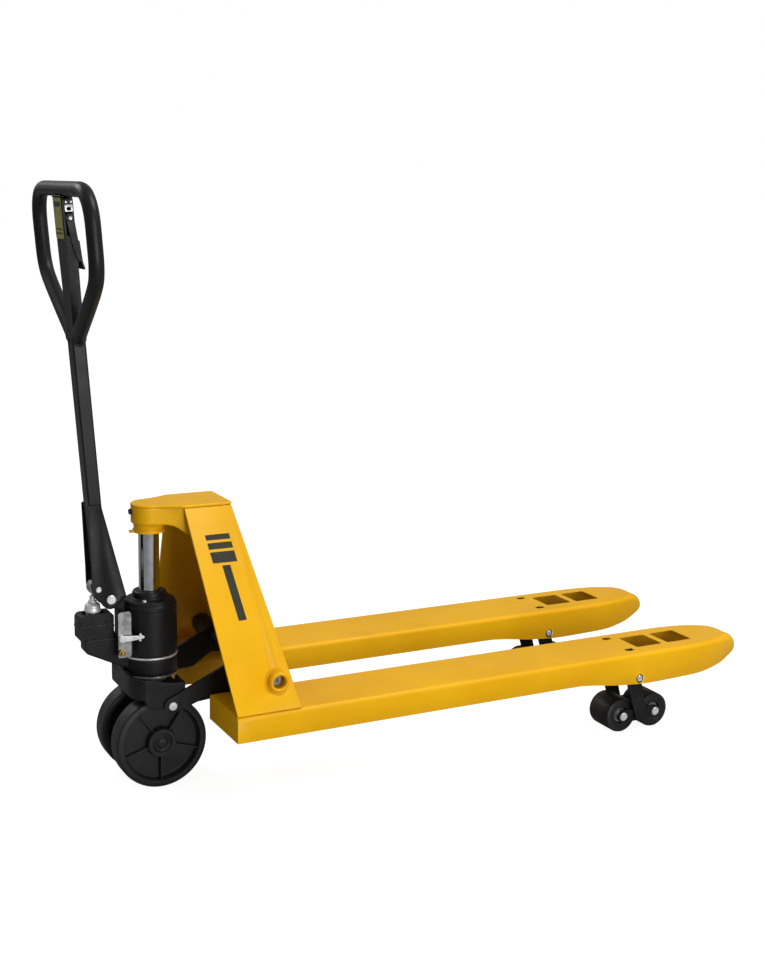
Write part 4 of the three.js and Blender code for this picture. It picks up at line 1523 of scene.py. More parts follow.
@dataclass
class Rocker:
    """Arms, tube, trunnions and push rods that turn the pump's lift into the rollers' swing."""

    finishes: Finishes
    inner: float = 99.0
    outer: float = 107.0

    def arms(self) -> None:
        """Builds the flat arms, with a boss at the trunnion."""
        lobe = slab("arm", belt(TRUNNION, 17, SHAFT, 26), self.inner, self.outer)
        web = [(22, 180), (62, 192), (134, 198), (196, 240), (186, 288), (118, 251), (30, 216)]
        join(lobe, slab("web", rounded(web, 6), self.inner, self.outer))
        cut(lobe, peg(22.4, 80, 120, SHAFT, sides=64))
        softened(lobe, 1.3, 3, 40)
        finished(lobe, self.finishes.casting, 40)
        boss = lathe("boss", rounded([(8.2, 106), (8.2, 108.4), (13.5, 108.4), (13.5, 106)], 0.6), TRUNNION, Axis.Y, 64)
        finished(boss, self.finishes.casting)
        ring = [(x, self.outer + 0.6, z) for x, z in polygon(23.4, 64, SHAFT)]
        bead = self.finishes.weld("bead", ring, self.finishes.casting, 2.4, closed=True)
        paired(united("arm", [lobe, boss, bead]), "rocker_side", "rocker", "black_casting", "rocker_arm")

    def tube(self) -> None:
        """Builds the tube round the torque shaft and its lugs over each fork."""
        profile = rounded([(13.9, -206), (22, -206), (22, 206), (13.9, 206)], 1.2)
        tube = shaded(lathe("tube", profile, SHAFT, Axis.Y, 64))
        parts = [coat(tube, self.finishes.casting)]
        for sign in (-1, 1):
            for offset in (-9.6, 9.6):
                y = sign * FORK_CENTRE + offset
                lug = slab("lug", belt(SHAFT, 21, ROD_REAR, 13), y - 3, y + 3)
                cut(lug, peg(13.8, y - 9, y + 9, SHAFT), peg(6.4, y - 9, y + 9, ROD_REAR, sides=40))
                softened(lug, 0.7, 2, 40)
                parts.append(finished(lug, self.finishes.casting, 40))
        fit(united("rocker_torque_tube", parts), "rocker", "black_casting", "rocker_tube")

    def trunnions(self) -> None:
        """Turns the plated trunnion pins with their domed heads."""
        profile = [(0, 99), (7.6, 99), (7.6, 108.3), (9.2, 108.3), (9.2, 109.8), (8.0, 111.4), (0, 112)]
        pin = finished(lathe("pin", profile, TRUNNION, Axis.Y, 48), self.finishes.zinc)
        paired(pin, "trunnion_head", "rocker", "zinc_steel", "trunnion_pin")

    def rods(self) -> None:
        """Builds the push rods with their pins and slotted front eyes."""
        y0, y1 = FORK_CENTRE - 6, FORK_CENTRE + 6
        rod = slab("rod", belt(ROD_REAR, 12, ROD_FRONT, 12), y0, y1)
        eye = belt((ROD_FRONT[0], ROD_FRONT[1] - 1), 11.2, (ROD_FRONT[0], ROD_FRONT[1] + 13), 13)
        join(rod, slab("eye", eye, y0, y1))
        slot = belt((ROD_FRONT[0], ROD_FRONT[1] - 1), 7.8, (ROD_FRONT[0], ROD_FRONT[1] + 13.5), 7.81)
        cut(rod, slab("slot", slot, y0 - 5, y1 + 5))
        softened(rod, 1.0, 2, 40)
        pin = lathe("pin", rounded([(0, y0 - 8), (6, y0 - 8), (6, y1 + 8), (0, y1 + 8)], 0.8), ROD_REAR, Axis.Y, 40)
        finished(rod, self.finishes.steel, 40)
        finished(pin, self.finishes.zinc)
        paired(united("rod", [rod, pin]), "push_rod_bar", "push_rod", "plain_steel", "push_rod", True)

    def build(self) -> None:
        """Builds every piece of the rocker."""
        self.arms()
        self.tube()
        self.trunnions()
        self.rods()


# -------------------------------------------------------------- load rollers


@dataclass
class LoadRollers:
    """Yoke, bogie, axles and two rollers under each fork."""

    finishes: Finishes
    pitch: float = 94.0
    radius: float = 41.5
    half: float = 37.5

    def yoke(self) -> None:
        """Builds the bell crank that carries the bogie."""
        y = FORK_CENTRE
        tube = rounded([(8.5, y - 70), (11.4, y - 70), (11.4, y + 70), (8.5, y + 70)], 0.8)
        parts = [shaded(lathe("tube", tube, YOKE, Axis.Y, 48))]
        for sign in (-1, 1):
            edges = sorted((y + sign * 48.4, y + sign * 54.4))
            arm = slab("arm", belt(YOKE, 20, BOGIE, 17), *edges)
            cut(arm, peg(8.5, y - 90, y + 90, YOKE, sides=40))
            lug = slab("lug", belt(YOKE, 13, ROD_FRONT, 11), y + sign * 9.6 - 3, y + sign * 9.6 + 3)
            cut(lug, peg(8.5, y - 90, y + 90, YOKE, sides=40))
            stub = sorted((y + sign * 39, y + sign * 55.6))
            pin = lathe("stub", rounded([(0, stub[0]), (7, stub[0]), (7, stub[1]), (0, stub[1])], 0.8), BOGIE, Axis.Y,
                        40)
            parts += [shaded(softened(arm, 1.2, 3, 40), 40), shaded(softened(lug, 0.7, 2, 40), 40), shaded(pin)]
        pin = lathe("pin", rounded([(0, y - 12), (6, y - 12), (6, y + 12), (0, y + 12)], 0.6), ROD_FRONT, Axis.Y, 40)
        parts.append(shaded(pin))
        for part in parts:
            coat(part, self.finishes.black)
        paired(united("yoke", parts), "roller_crank", "load_yoke", "black_casting", "load_yoke", True)

    def bogie(self) -> None:
        """Builds the side plates and tie block between the rollers."""
        y = FORK_CENTRE
        reach = self.pitch / 2
        parts = []
        for sign in (-1, 1):
            edges = sorted((y + sign * 40, y + sign * 47))
            ends = ((BOGIE[0] - reach, self.radius), 14.5, (BOGIE[0] + reach, self.radius), 14.501)
            plate = slab("plate", belt(*ends), *edges)
            bores = [peg(10.3, y - 60, y + 60, (BOGIE[0] + s * reach, self.radius), sides=40) for s in (-1, 1)]
            bores.append(peg(7.4, y - 60, y + 60, BOGIE, sides=40))
            cut(plate, *bores)
            parts.append(shaded(softened(plate, 1.2, 3, 40), 40))
        tie = block("tie", (BOGIE[0] - 3.5, y - 41, self.radius + 8.4), (BOGIE[0] + 3.5, y + 41, self.radius + 16))
        parts.append(shaded(softened(tie, 0.8, 2)))
        for part in parts:
            coat(part, self.finishes.black)
        paired(united("bogie", parts), "bogie_plates", "bogie", "black_casting", "bogie", True)

    def roller_profile(self) -> list[tuple[float, float]]:
        """Section of a roller, with its tread, the step in its face and the hub's recess.

        Returns:
            Points (radius, height) round the section.
        """
        h, r = self.half, self.radius
        face = [(10.6, h - 7), (17.4, h - 7), (17.8, h - 9), (19.4, h - 9), (20.6, h - 1.2), (26, h - 0.4),
                (27, h - 1.2), (28.4, h - 1.2), (29.2, h), (r - 4, h), (r - 1.2, h - 1.6), (r - 0.1, h - 5)]
        crown = [(r, h * 0.4), (r, -h * 0.4)]
        return [*face, *crown, *[(a, -b) for a, b in reversed(face)]]

    def rollers(self) -> None:
        """Turns the rollers and their axles."""
        y = FORK_CENTRE
        for word, sign in (("rear", -1), ("front", 1)):
            centre = (BOGIE[0] + sign * self.pitch / 2, self.radius)
            profile = [(r, y + h) for r, h in self.roller_profile()]
            roller = finished(lathe("roller", profile, centre, Axis.Y, 96), self.finishes.nylon, 30)
            shields = []
            for s in (-1, 1):
                ring = [(10.5, y + s * 31.4), (16.8, y + s * 31.4), (16.8, y + s * 30.2), (10.5, y + s * 30.2)]
                shields.append(finished(lathe("shield", ring, centre, Axis.Y, 64), self.finishes.steel))
            whole = united("roller", [roller, *shields])
            paired(whole, f"{word}_roller_turned", f"{word}_roller", "tread_plastic", f"{word}_roller", True)
            a, b = y - 48.2, y + 48.2
            bar = [(0, a + 0.8), (3.2, a + 0.8), (3.8, a), (8.8, a), (10, a + 1.2), (10, b - 1.2), (8.8, b), (3.8, b),
                   (3.2, b - 0.8), (0, b - 0.8)]
            axle = finished(lathe("axle", bar, centre, Axis.Y, 56), self.finishes.zinc)
            paired(axle, f"{word}_axle_turned", "bogie", "zinc_steel", f"{word}_roller_axle", True)

    def build(self) -> None:
        """Builds every piece of the load rollers."""
        self.yoke()
        self.bogie()
        self.rollers()


# ---------------------------------------------------------------------- base


@dataclass
class BearingBlock:
    """Cast tray that the pump turns in, with an ear under each trunnion."""

    finishes: Finishes
    rear: float = -66.0
    front: float = 45.0
    half: float = 98.0
    low: float = 206.0
    high: float = 254.0

    def plan(self, inset: float, corner: float) -> list[tuple[float, float]]:
        """Plan of the tray, with its operator-side corners drawn in.

        Args:
            inset: Distance inwards.
            corner: Length of the drawn-in corner.

        Returns:
            The closed outline.
        """
        x0, x1, y = self.rear + inset, self.front - inset, self.half - inset
        left = bezier((x0 + corner, y), (x0 + 5, y - 6), (x0, y - corner - 12), 10)
        right = [(a, -b) for a, b in reversed([(x0 + corner, y), *left])]
        return [(x1, -y), (x1, y), (x0 + corner, y), *left, *right]

    def build(self) -> None:
        """Builds the tray as a casting and leaves the bearing ring as it is."""
        tray = slab("bearing_tray", self.plan(0, 26), self.low, self.high, Axis.Z)
        slope = [(-90, 257), (-66, 254), (-30, 249), (12, 238.5), (70, 237), (70, 300), (-90, 300)]
        cut(tray, slab("hollow", self.plan(8, 20), 222, 270, Axis.Z), slab("slope", slope, -120, 120, Axis.Y),
            peg(61.2, 222, 290, axis=Axis.Z, sides=96), peg(31, 190, 260, axis=Axis.Z, sides=64))
        for sign in (-1, 1):
            a, b = sorted((sign * 92, sign * self.half))
            flank = [(-46, 214), (-41, 191), (-22, 185), (34, 185), (39, 197), (40, 214)]
            ear = slab("ear", belt(TRUNNION, 11, (TRUNNION[0], 212), 15), a, b)
            join(tray, ear, slab("flank", rounded(flank, 7), a, b))
        cut(tray, peg(7.8, -120, 120, TRUNNION, sides=40))
        cast(tray, 1.6, 5, 0.4)
        finished(tray, self.finishes.casting, 50)
        fit(tray, "base", "black_casting", "bearing_block")
        dress_node("thrust_bearing", self.finishes.steel)


# ---------------------------------------------------------------------- pump


@dataclass
class Pump:
    """Hydraulic pump: casting, tank, gland, piston housing and the valve's parts."""

    finishes: Finishes
    tank: float = 58.0
    lug: float = 19.4

    def casting(self) -> None:
        """Builds the pump's foot, lug, piston arm and handle post as one casting."""
        lug = self.lug
        foot = rounded([(0, 241), (54, 241), (57.5, 246), (57.5, 276), (56, 279), (0, 279)], 1.5)
        body = lathe("pump_body", [(0, 241), *foot[1:-1], (0, 279)], sides=96)
        lower = slab("axle lug", belt(STEER_AXLE, 26, (0, 190), 26.01), -22, 22)
        spigot = peg(30, 190, 246, axis=Axis.Z, sides=96)
        cylinder = peg(30, 270, 395.8, axis=Axis.Z, sides=96)
        arm = [(-146, 300), (-146, 328.9), (-50, 328.9), (-40, 283), (-34, 258), (-56, 256), (-78, 266)]
        post = [(-60, 315), (-72, 315), (-72, 386), (-97, 398), (-99, 415), (-86, 431), (-60, 427)]
        parts = [
            slab("arm", rounded(arm, 7), -lug, lug),
            slab("post", rounded(post, 3), -lug, lug),
            peg(18, -lug, lug, PIVOT, sides=64),
            block("valve", (-83.4, -44.8, 296), (-50, -12, 340)),
            lower,
            spigot,
            cylinder,
        ]
        join(body, *parts)
        ram_bore = peg(22.5, 205, 410, axis=Axis.Z, sides=96)
        piston_bore = peg(15.2, 302, 335, PISTON, Axis.Z, 64)
        axle_bore = peg(12.4, -40, 40, STEER_AXLE)
        pin_bore = peg(10.3, -40, 40, PIVOT)
        cut(body, ram_bore, piston_bore, axle_bore, pin_bore)
        cast(body, 1.5, 5, 0.45)
        finished(body, self.finishes.casting, 50)
        lip = rounded([(50, 278.6), (58.6, 278.6), (59.2, 280), (59.2, 282), (58.4, 283), (50, 283)], 0.5)
        ring = finished(lathe("machined ring", lip, sides=128), self.finishes.zinc)
        rim = rounded([(40, 238.6), (60.4, 238.6), (60.4, 241.8), (40, 241.8)], 0.7)
        seat = finished(lathe("seat ring", rim, sides=128), self.finishes.steel)
        fit(united("pump_body_cast", [body, ring, seat]), "pump", "black_casting", "pump_casting")

    def reservoir(self) -> None:
        """Turns the oil tank and the gland above it, with its wiper ring and filler plug."""
        r = self.tank
        wall = open_rounded([(53, 283.4), (r - 1.4, 283.4), (r, 286), (r, 380), (r - 0.9, 381.4), (r, 383),
                             (r, 391), (r - 3.5, 396), (53, 396)], 1.2)
        shell = finished(lathe("tank_shell", wall, sides=128), self.finishes.black, 30)
        fit(shell, "pump", "black_casting", "reservoir_tank")
        gland = open_rounded([(22.6, 396.4), (55, 396.4), (54.2, 399), (49, 403), (38, 404.4), (36.6, 406), (36.4, 414),
                              (35, 418), (31, 420), (27, 420), (26, 418.4), (22.6, 418.4)], 1.4)
        cover = finished(lathe("gland", gland, sides=128), self.finishes.black, 30)
        lip = rounded([(22.1, 417), (25.6, 417), (25.2, 420.6), (22.4, 421.4)], 0.6)
        wiper = finished(lathe("wiper", lip, sides=96), self.finishes.nylon)
        plug = slab("plug", polygon(4.6, 6, (-22.945266, -37.417129)), 402, 407, Axis.Z)
        finished(softened(plug, 0.5, 2), self.finishes.zinc)
        fit(united("gland_turned", [cover, wiper, plug]), "pump", "black_casting", "gland_cap")

    def piston_side(self) -> None:
        """Builds the piston housing, its spring and the cap and rod that move."""
        lug = self.lug
        block_outline = [(-158, 329.2), (-84, 329.2), (-84, 378), (-90, 383), (-152, 383), (-158, 376)]
        housing = slab("housing", rounded(block_outline, 4), -lug, lug)
        bore = peg(18.2, 320, 400, PISTON, Axis.Z, 64)
        notch = block("notch", (PISTON_X - 23, -12.6, 371), (PISTON_X + 25, 12.6, 400))
        cut(housing, bore, notch)
        softened(housing, 1.6, 3, 40)
        band = slab("band", rounded([(-159, 352), (-83.4, 352), (-83.4, 358), (-159, 358)], 1.6), -lug - 0.9,
                    lug + 0.9)
        cut(band, peg(18.2, 340, 370, PISTON, Axis.Z, 64))
        softened(band, 1.0, 2, 40)
        for part in (housing, band):
            finished(part, self.finishes.casting, 40)
        screws = []
        for x in (-150, -98):
            head = lathe("screw", [(0, 0), (3.9, 0), (4.2, 0.5), (4.2, 3.2), (3.6, 3.9), (0, 3.9)], (x, 366), Axis.Y,
                         32, flip=-1)
            head.data.transform(Matrix.Translation((0, -(lug - 0.1) * MM, 0)))
            screws.append(finished(head, self.finishes.black))
        fit(united("piston_block", [housing, band, *screws]), "pump", "black_casting", "piston_housing")

        cap = open_rounded([(6.7, 385.8), (17.4, 385.8), (17.4, 391), (16.2, 394), (16.4, 399), (12.4, 403.6),
                            (6.7, 405)], 1.4)
        dome = finished(lathe("dome", cap, PISTON, sides=96), self.finishes.zinc, 30)
        fit(dome, "piston", "zinc_steel", "spring_cap")
        rod = open_rounded([(0, 352), (6.1, 352), (6.1, 405.2), (9, 405.2), (9, 408.6), (6.1, 408.8), (6.1, 418),
                            (4.6, 420.4), (0, 420.6)], 0.7)
        rod_mesh = finished(lathe("rod", rod, PISTON, sides=64), self.finishes.zinc, 30)
        wire = path("spring", [(PISTON_X, 0, 344), (PISTON_X, 0, 345)])
        spring = self.finishes.coils.grow(wire, self.finishes.zinc, Radius=0.0128, Height=0.034, Turns=5.0,
                                          Wire=0.0013, X=AXIS_X + PISTON_X * MM, Z=0.3505)
        fit(united("piston_rod_turned", [rod_mesh, shaded(spring, 60)]), "piston", "zinc_steel", "piston_rod")

    def valve_side(self) -> None:
        """Builds the release bracket, lever, brass fitting and their small nuts."""
        plate = [(-84, 291), (-56, 291), (-56, 386), (-60, 390), (-80, 390), (-84, 386)]
        bracket = slab("bracket", rounded(plate, 4), -48.3, -45.3)
        cut(bracket, *[peg(4.8, -60, -40, (VALVE_X, z), sides=32) for z in (334, 304)])
        finished(softened(bracket, 0.6, 2, 40), self.finishes.steel, 40)
        fit(bracket, "pump", "zinc_steel", "release_bracket")
        bar = slab("bar", belt(SPINDLE, 7, (-34, 334), 3.6), -58.4, -54.6)
        softened(bar, 0.9, 2, 40)
        spindle = lathe("spindle", open_rounded([(0, -60.4), (3.4, -60.4), (4, -59.8), (4, -40), (0, -40)], 0.3),
                        SPINDLE, Axis.Y, 32)
        collar = lathe("collar", rounded([(4.1, -54.2), (7.4, -54.2), (7.4, -49), (4.1, -49)], 0.8), SPINDLE,
                       Axis.Y, 40)
        tang = slab("tang", rounded([(-42, 326), (-38, 326), (-37, 342), (-41, 343)], 1), -58.3, -54.7)
        for part in (bar, spindle, collar, tang):
            finished(part, self.finishes.zinc, 40)
        fit(united("release_arm", [bar, spindle, collar, tang]), "release_lever", "zinc_steel", "release_lever")
        nut = slab("nut", polygon(7.7, 6, BANJO), -56.6, -48.7)
        cut(nut, peg(3.4, -60, -52, BANJO, sides=32))
        nipple = lathe("nipple", open_rounded([(0, -54), (2.9, -54), (2.9, -60.5), (2.2, -61), (0, -61)], 0.3),
                       BANJO, Axis.Y, 32)
        for part in (softened(nut, 0.7, 2, 40), nipple):
            finished(part, self.finishes.brass, 40)
        fit(united("brass_union", [nut, nipple]), "pump", "brass", "brass_fitting")

    def pins(self) -> None:
        """Turns the handle's pivot pin and the axle of the steered wheels."""
        a = 28.6
        profile = [(0, -a), (8.6, -a), (10, -a + 1.4), (10, a - 1.4), (8.6, a), (0, a)]
        pin = finished(lathe("pivot_pin_turned", profile, PIVOT, Axis.Y, 48), self.finishes.zinc)
        fit(pin, "pump", "zinc_steel", "handle_pivot_pin")
        b = 66.0
        bar = [(0, -b), (10.6, -b), (12, -b + 1.4), (12, b - 1.4), (10.6, b), (0, b)]
        axle = finished(lathe("axle_turned", bar, STEER_AXLE, Axis.Y, 56), self.finishes.steel)
        fit(axle, "pump", "plain_steel", "steer_axle")

    def build(self) -> None:
        """Builds every piece of the pump."""
        self.casting()
        self.reservoir()
        self.piston_side()
        self.valve_side()
        self.pins()


@dataclass
class SteerWheels:
    """The two steered wheels: moulded rim, web, five ribs, hub and pressed cap."""

    finishes: Finishes
    radius: float = 100.0
    half: float = 25.0
    centre: float = 53.0

    def profile(self) -> list[tuple[float, float]]:
        """Section of the wheel, from bore to tread on its outer side and back on the inner.

        Returns:
            Points (radius, height) round the section.
        """
        h, r = self.half, self.radius
        outer = [(21.4, h - 9), (21.4, h - 0.6), (22.2, h), (29.2, h), (30.4, h - 1), (31.5, 6.4), (34, 4.6),
                 (79.5, 4.6), (82.4, 6.6), (84.4, h - 1.4), (85.6, h), (r - 8, h), (r - 3.4, h - 1.4),
                 (r - 0.6, h - 5), (r, h - 9)]
        inner = [(12.7, -h), (29, -h), (30.4, -h + 1.2), (31.2, -14), (33, -12.2), (81, -12.2), (83, -14),
                 (84.2, -h + 1.2), (85.4, -h), (r - 8, -h), (r - 3.4, -h + 1.4), (r - 0.6, -h + 5), (r, -h + 9)]
        return [(12.7, h - 12), (21.4, h - 12), *outer, *reversed(inner)]

    def build(self) -> None:
        """Builds both wheels and their caps."""
        y = self.centre
        rim = lathe("rim", [(r, y + h) for r, h in self.profile()], (0, self.radius), Axis.Y, 160)
        finished(rim, self.finishes.nylon, 28)
        bm = bmesh.new()
        corners = [(28.5, 2.6, 2.2), (86.4, 2.4, 2.6)]
        rows = []
        for x, low, half in corners:
            rows.append([bm.verts.new((x, low, -half)), bm.verts.new((x, 17.5, -half * 0.8)),
                         bm.verts.new((x, 17.5, half * 0.8)), bm.verts.new((x, low, half))])
        for k in range(4):
            n = (k + 1) % 4
            bm.faces.new((rows[0][k], rows[0][n], rows[1][n], rows[1][k]))
        bm.faces.new(rows[0])
        bm.faces.new(list(reversed(rows[1])))
        rib = settle("rib", bm, Matrix.Scale(MM, 4))
        softened(rib, 0.8, 3)
        ribs = self.finishes.rings.grow(shaded(rib), self.finishes.nylon, Count=5, Start=math.pi / 2, X=AXIS_X,
                                        Y=y * MM, Z=self.radius * MM)
        wheel = united("wheel", [rim, ribs])
        paired(wheel, "steer_wheel_moulded", "steer_wheel", "tread_plastic", "steer_wheel", True)
        h = self.half
        face = [(0, h - 7.4), (20.8, h - 7.4), (20.8, h - 2.2), (19.6, h - 0.6), (17.4, h - 0.4), (16, h - 2.4),
                (13.6, h - 3), (12.2, h - 1.2), (8, h + 1.8), (0, h + 2.6)]
        cap = lathe("cap", [(r, y + v) for r, v in open_rounded(face, 0.8)], (0, self.radius), Axis.Y, 80)
        finished(cap, self.finishes.nylon, 35)
        paired(cap, "hub_cap_pressed", "steer_wheel", "hub_plastic", "hub_cap", True)


# -------------------------------------------------------------------- handle


@dataclass
class Handle:
    """Yoke plates, draw bar, stem, loop and control lever."""

    finishes: Finishes
    bar_x: float = -13.0
    tube: float = 15.0
    loop_top: float = 842.0
    lever_pivot: tuple[float, float] = (-12.0, 786.0)

    def yoke_plates(self) -> None:
        """Builds the flared plates that carry the pivot and the cam roller."""
        sweep = [(-30, 206), (-35, 67), (-37, 30), (-33, 13), (-17, -12)]
        foot = bezier((-17, -12), (-9, -22), (3, -20), 8) + bezier((3, -20), (12, -17), (33, 0), 8)
        outline = rounded([*sweep, *[(a, b, 0.0) for a, b in foot], (33, 6, 3), (-2.5, 206)], 3)
        plate = slab("plate", outline, 20.2, 25.4, Axis.Y, GRIP)
        cut(plate, peg(10.2, 10, 40, place=GRIP))
        softened(plate, 0.9, 2, 40)
        finished(plate, self.finishes.black, 40)
        line = [(-2.5 + (33 + 2.5) * (206 - z) / 200 - 3.5, 20.6, z) for z in range(202, 82, -6)]
        seam = self.finishes.weld("seam", line, self.finishes.black, 2.0, GRIP)
        paired(united("plate", [plate, seam]), "yoke_cheek", "handle", "black_casting", "yoke_plate")

    def draw_bar(self) -> None:
        """Builds the rectangular tube between the yoke and the stem."""
        half_y, half_x, wall = 20.0, 14.0, 3.0
        corners = [(self.bar_x - half_x, -half_y), (self.bar_x + half_x, -half_y), (self.bar_x + half_x, half_y),
                   (self.bar_x - half_x, half_y)]
        outer = slab("bar", rounded(corners, 4.5, 6), 78, 541, Axis.Z, GRIP)
        inner = [(a + math.copysign(wall, self.bar_x - a), b - math.copysign(wall, b)) for a, b in corners]
        cut(outer, slab("bore", rounded(inner, 2.5, 4), 70, 550, Axis.Z, GRIP))
        finished(softened(outer, 0.5, 2, 50), self.finishes.tube, 30)
        fit(outer, "handle", "black_casting", "draw_bar")

    def stem(self) -> None:
        """Builds the pressed housing inside the loop."""
        low, high = 22.0, 32.0
        outline = [(-low, 540), (low, 540), (high, 740, 20), (high, 826, 6), (-high, 826, 6), (-high, 740, 20)]
        shell = slab("stem_shell", rounded(outline, 1.0, 8), self.bar_x - 11, self.bar_x + 11, Axis.X, GRIP)
        hollow = [(-19, 530), (19, 530), (29, 742), (29, 822), (-29, 822), (-29, 742)]
        slot = [(-60, 752), (60, 752), (60, 806), (-60, 806)]
        cut(shell, slab("hollow", hollow, self.bar_x - 8, self.bar_x + 8, Axis.X, GRIP),
            slab("slot", rounded(slot, 4), self.bar_x - 7, self.bar_x + 7, Axis.X, GRIP))
        softened(shell, 2.2, 4, 50)
        parts = [finished(shell, self.finishes.tube, 40)]
        for sign in (-1, 1):
            y = sign * high
            edges = sorted((y - sign * 0.6, y + sign * 1.2))
            clip = slab("clip", rounded([(-20, 798), (-4, 798), (-4, 812), (-20, 812)], 2), *edges, Axis.Y, GRIP)
            gap = rounded([(-16, 801), (-8, 801), (-8, 807), (-16, 807)], 1)
            cut(clip, slab("gap", gap, y - 6, y + 6, Axis.Y, GRIP))
            parts.append(finished(softened(clip, 0.3, 1, 40), self.finishes.steel))
            for x in (-17, -7):
                screw = [(0, y), (2.3, y), (2.3, y + sign * 2.2), (1.5, y + sign * 3), (0, y + sign * 3)]
                parts.append(finished(lathe("screw", screw, (x, 817), Axis.Y, 24, GRIP), self.finishes.zinc))
        fit(united("stem_pressed", parts), "handle", "black_tube", "grip_stem")

    def loop_points(self) -> list[Vector]:
        """Centre line of the loop.

        Returns:
            Points from one weld to the other.
        """
        half = [(6, 543), (62, 583), (110, 617), (156, 652), (179, 676), (189, 706), (190.5, 745), (190, 785),
                (182, 812), (164, 832), (138, 841), (100, self.loop_top), (50, self.loop_top)]
        right = [(self.bar_x, -y, z) for y, z in half]
        left = [(self.bar_x, y, z) for y, z in reversed(half)]
        return smooth_line([*right, (self.bar_x, 0, self.loop_top), *left], 8)

    def loop(self) -> None:
        """Sweeps the bent tube and lays the welds at its feet and under its bridge."""
        line = path("loop_tube", self.loop_points(), GRIP)
        tube = self.finishes.tubes.grow(line, self.finishes.tube, Radius=self.tube * MM, Step=0.006, Sides=48)
        parts = [shaded(tube, 50)]
        for sign in (-1, 1):
            ring = [(self.bar_x + 13.2 * a, sign * (20.6 + 0.4 * b), 552.5 + 18 * b) for a, b in polygon(1, 40)]
            parts.append(self.finishes.weld("bead", ring, self.finishes.tube, 3.0, GRIP, True))
        across = [(self.bar_x + 11.6, y, 828) for y in range(-28, 29, 4)]
        behind = [(self.bar_x - 11.6, y, 828) for y in range(-28, 29, 4)]
        parts += [self.finishes.weld("bead", run, self.finishes.tube, 2.6, GRIP) for run in (across, behind)]
        fit(united("loop_tube_bent", parts), "handle", "black_tube", "handle_loop")

    def label(self) -> None:
        """Builds the plain label plate with a rounded outline and three plain bars."""
        x = self.bar_x - 12.3
        plate = slab("label", rounded([(-26, 746), (30, 746), (30, 827), (-26, 827)], 3), x, x + 1, Axis.X, GRIP)
        finished(softened(plate, 0.25, 1), self.finishes.film)
        bars = []
        for low, high in ((808, 818), (763, 766), (755, 758)):
            outline = rounded([(-21, low), (25, low), (25, high), (-21, high)], 0.8)
            bars.append(coat(slab("band", outline, x - 0.15, x + 0.1, Axis.X, GRIP), self.finishes.print))
        fit(united("label_film", [plate, *bars]), "handle", "label", "label_plate")

    def lever(self) -> None:
        """Builds the control lever: two cheeks on the pin and a bent tongue."""
        pin = self.lever_pivot
        arc = [(pin[0] + 9 * math.cos(t), pin[1] + 9 * math.sin(t))
               for t in (1.2 * math.pi - 1.3 * math.pi * k / 14 for k in range(15))]
        outline = [(pin[0] - 7, 780), *arc, (pin[0] + 12.5, 742), (pin[0] + 15, 702), (pin[0] + 10, 702),
                   (pin[0] + 2, 722)]
        parts = []
        for sign in (-1, 1):
            a, b = sorted((sign * 33, sign * 35.6))
            cheek = slab("cheek", outline, a, b, Axis.Y, GRIP)
            cut(cheek, peg(4.4, -50, 50, pin, sides=32, place=GRIP))
            parts.append(softened(cheek, 0.7, 2, 40))
        tongue = [(12, 742), (14.8, 742), (17.6, 702), (21.5, 686), (19, 684), (14.4, 701)]
        blade = slab("blade", rounded([(pin[0] + a, b) for a, b in tongue], 1.2), -35.6, 35.6, Axis.Y, GRIP)
        parts.append(softened(blade, 0.9, 3, 40))
        for part in parts:
            finished(part, self.finishes.black, 40)
        fit(united("control_trigger", parts), "control_lever", "black_tube", "control_lever")

    def small_parts(self) -> None:
        """Turns the pins, with the lever pin's two clips, the cam roller and the pull rod."""
        cam = (-24.6, 26.2)
        pin = [(0, -27.7), (4.8, -27.7), (6, -26.6), (6, 26.6), (4.8, 27.7), (0, 27.7)]
        fit(finished(lathe("cam_pin_turned", pin, cam, Axis.Y, 40, GRIP), self.finishes.zinc), "handle",
            "zinc_steel", "roller_pin")
        roller = rounded([(6.5, -12), (15.9, -12), (15.9, 12), (6.5, 12)], 1.0)
        fit(finished(lathe("cam_roller_turned", roller, cam, Axis.Y, 64, GRIP), self.finishes.steel), "cam_roller",
            "plain_steel", "cam_roller")
        pivot = self.lever_pivot
        bar = [(0, -38.6), (3.2, -38.6), (4, -37.8), (4, 37.8), (3.2, 38.6), (0, 38.6)]
        lever_pin = finished(lathe("pin", bar, pivot, Axis.Y, 32, GRIP), self.finishes.steel)
        parts = [lever_pin]
        for low in (36.2, -37.2):
            section = rounded([(4.1, low), (7, low), (7, low + 1), (4.1, low + 1)], 0.3)
            parts.append(finished(lathe("clip", section, pivot, Axis.Y, 40, GRIP), self.finishes.black))
        fit(united("lever_pin_turned", parts), "handle", "zinc_steel", "lever_pin")
        rod = [(0, 50), (2.4, 50), (3, 50.8), (3, 769.2), (2.4, 770), (0, 770)]
        fit(finished(lathe("pull_rod_drawn", rod, (self.bar_x, 0), Axis.Z, 24, GRIP), self.finishes.steel),
            "pull_rod", "zinc_steel", "pull_rod")

    def build(self) -> None:
        """Builds every piece of the handle."""
        self.yoke_plates()
        self.draw_bar()
        self.stem()
        self.loop()
        self.label()
        self.lever()
        self.small_parts()


# -------------------------------------------------------------------- studio


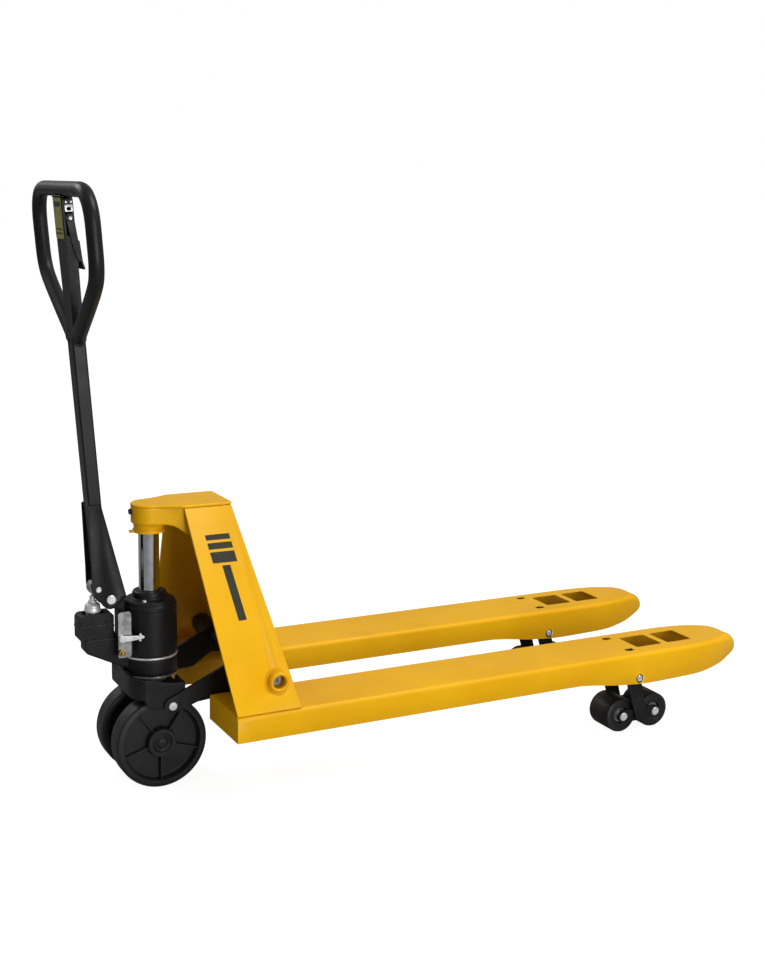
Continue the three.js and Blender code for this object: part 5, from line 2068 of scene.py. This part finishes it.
@dataclass
class Studio:
    """Pale floor, soft light and the camera."""

    eye: tuple[float, float, float] = (-1.5839, -2.8498, 1.2729)
    heading: float = 27.82
    pitch: float = 11.753
    roll: float = 1.232
    lens: float = 53.62
    ambient: float = 0.34
    floor_half: float = 40.0
    floor_drop: float = 0.0006
    middle: tuple[float, float, float] = (0.0, 0.0, 0.35)

    def camera(self) -> None:
        """Puts the camera at its station, with its long side up."""
        t, e, r = (math.radians(v) for v in (self.heading, self.pitch, self.roll))
        forward = Vector((math.sin(t) * math.cos(e), math.cos(t) * math.cos(e), -math.sin(e)))
        right = Vector((math.cos(t), -math.sin(t), 0))
        up = right.cross(forward)
        along = right * math.cos(r) + up * math.sin(r)
        above = up * math.cos(r) - right * math.sin(r)
        data = bpy.data.cameras.new("camera")
        data.lens = self.lens
        data.sensor_fit = "VERTICAL"
        data.sensor_height = 36.0
        data.clip_end = 100
        camera = bpy.data.objects.new("camera", data)
        turn = Matrix((along, above, -forward)).transposed().to_4x4()
        camera.matrix_world = Matrix.Translation(self.eye) @ turn
        bpy.context.scene.collection.objects.link(camera)
        bpy.context.scene.camera = camera

    def lamp(self, name: str, place: Sequence[float], size: float, power: float) -> None:
        """Hangs a soft square lamp that faces the middle of the jack.

        Args:
            name: Name of the lamp.
            place: Where it hangs, in metres.
            size: Side of the square in metres.
            power: Power in watts.
        """
        data = bpy.data.lights.new(name, "AREA")
        data.shape = "SQUARE"
        data.size = size
        data.energy = power
        lamp = bpy.data.objects.new(name, data)
        lamp.location = place
        lamp.rotation_euler = (Vector(self.middle) - Vector(place)).to_track_quat("-Z", "Y").to_euler()
        bpy.context.scene.collection.objects.link(lamp)

    def build(self) -> None:
        """Lays the floor, hangs the lamps and sets the world's light."""
        bm = bmesh.new()
        bmesh.ops.create_grid(bm, x_segments=8, y_segments=8, size=self.floor_half)
        floor = settle("studio_floor", bm, Matrix.Translation((0, 0, -self.floor_drop)))
        coat(floor, BackdropPaper().material())
        world = bpy.data.worlds.new("studio air")
        world.use_nodes = True
        nodes, links = world.node_tree.nodes, world.node_tree.links
        split = nodes.new("ShaderNodeMapRange")
        split.inputs["To Min"].default_value = self.ambient
        split.inputs["To Max"].default_value = 1.0
        links.new(nodes.new("ShaderNodeLightPath").outputs["Is Camera Ray"], split.inputs["Value"])
        links.new(split.outputs["Result"], nodes["Background"].inputs["Strength"])
        nodes["Background"].inputs["Color"].default_value = (1.0, 1.0, 1.0, 1.0)
        bpy.context.scene.world = world
        self.lamp("key", (1.8, -2.2, 5.0), 2.6, 185)
        self.lamp("front", (-0.1, -5.2, 0.8), 2.2, 125)
        self.lamp("rim", (-2.2, 3.0, 3.2), 1.6, 40)
        bpy.context.scene.view_settings.view_transform = "Standard"
        self.camera()


def main() -> None:
    """Builds the jack's sub-assemblies in order."""
    logging.basicConfig(level=logging.INFO, format="%(message)s")
    finishes = Finishes()
    Studio().build()
    for assembly in (Fork, Mast, Rocker, LoadRollers, BearingBlock, Pump, SteerWheels, Handle):
        assembly(finishes).build()


if __name__ == "__main__":
    main()
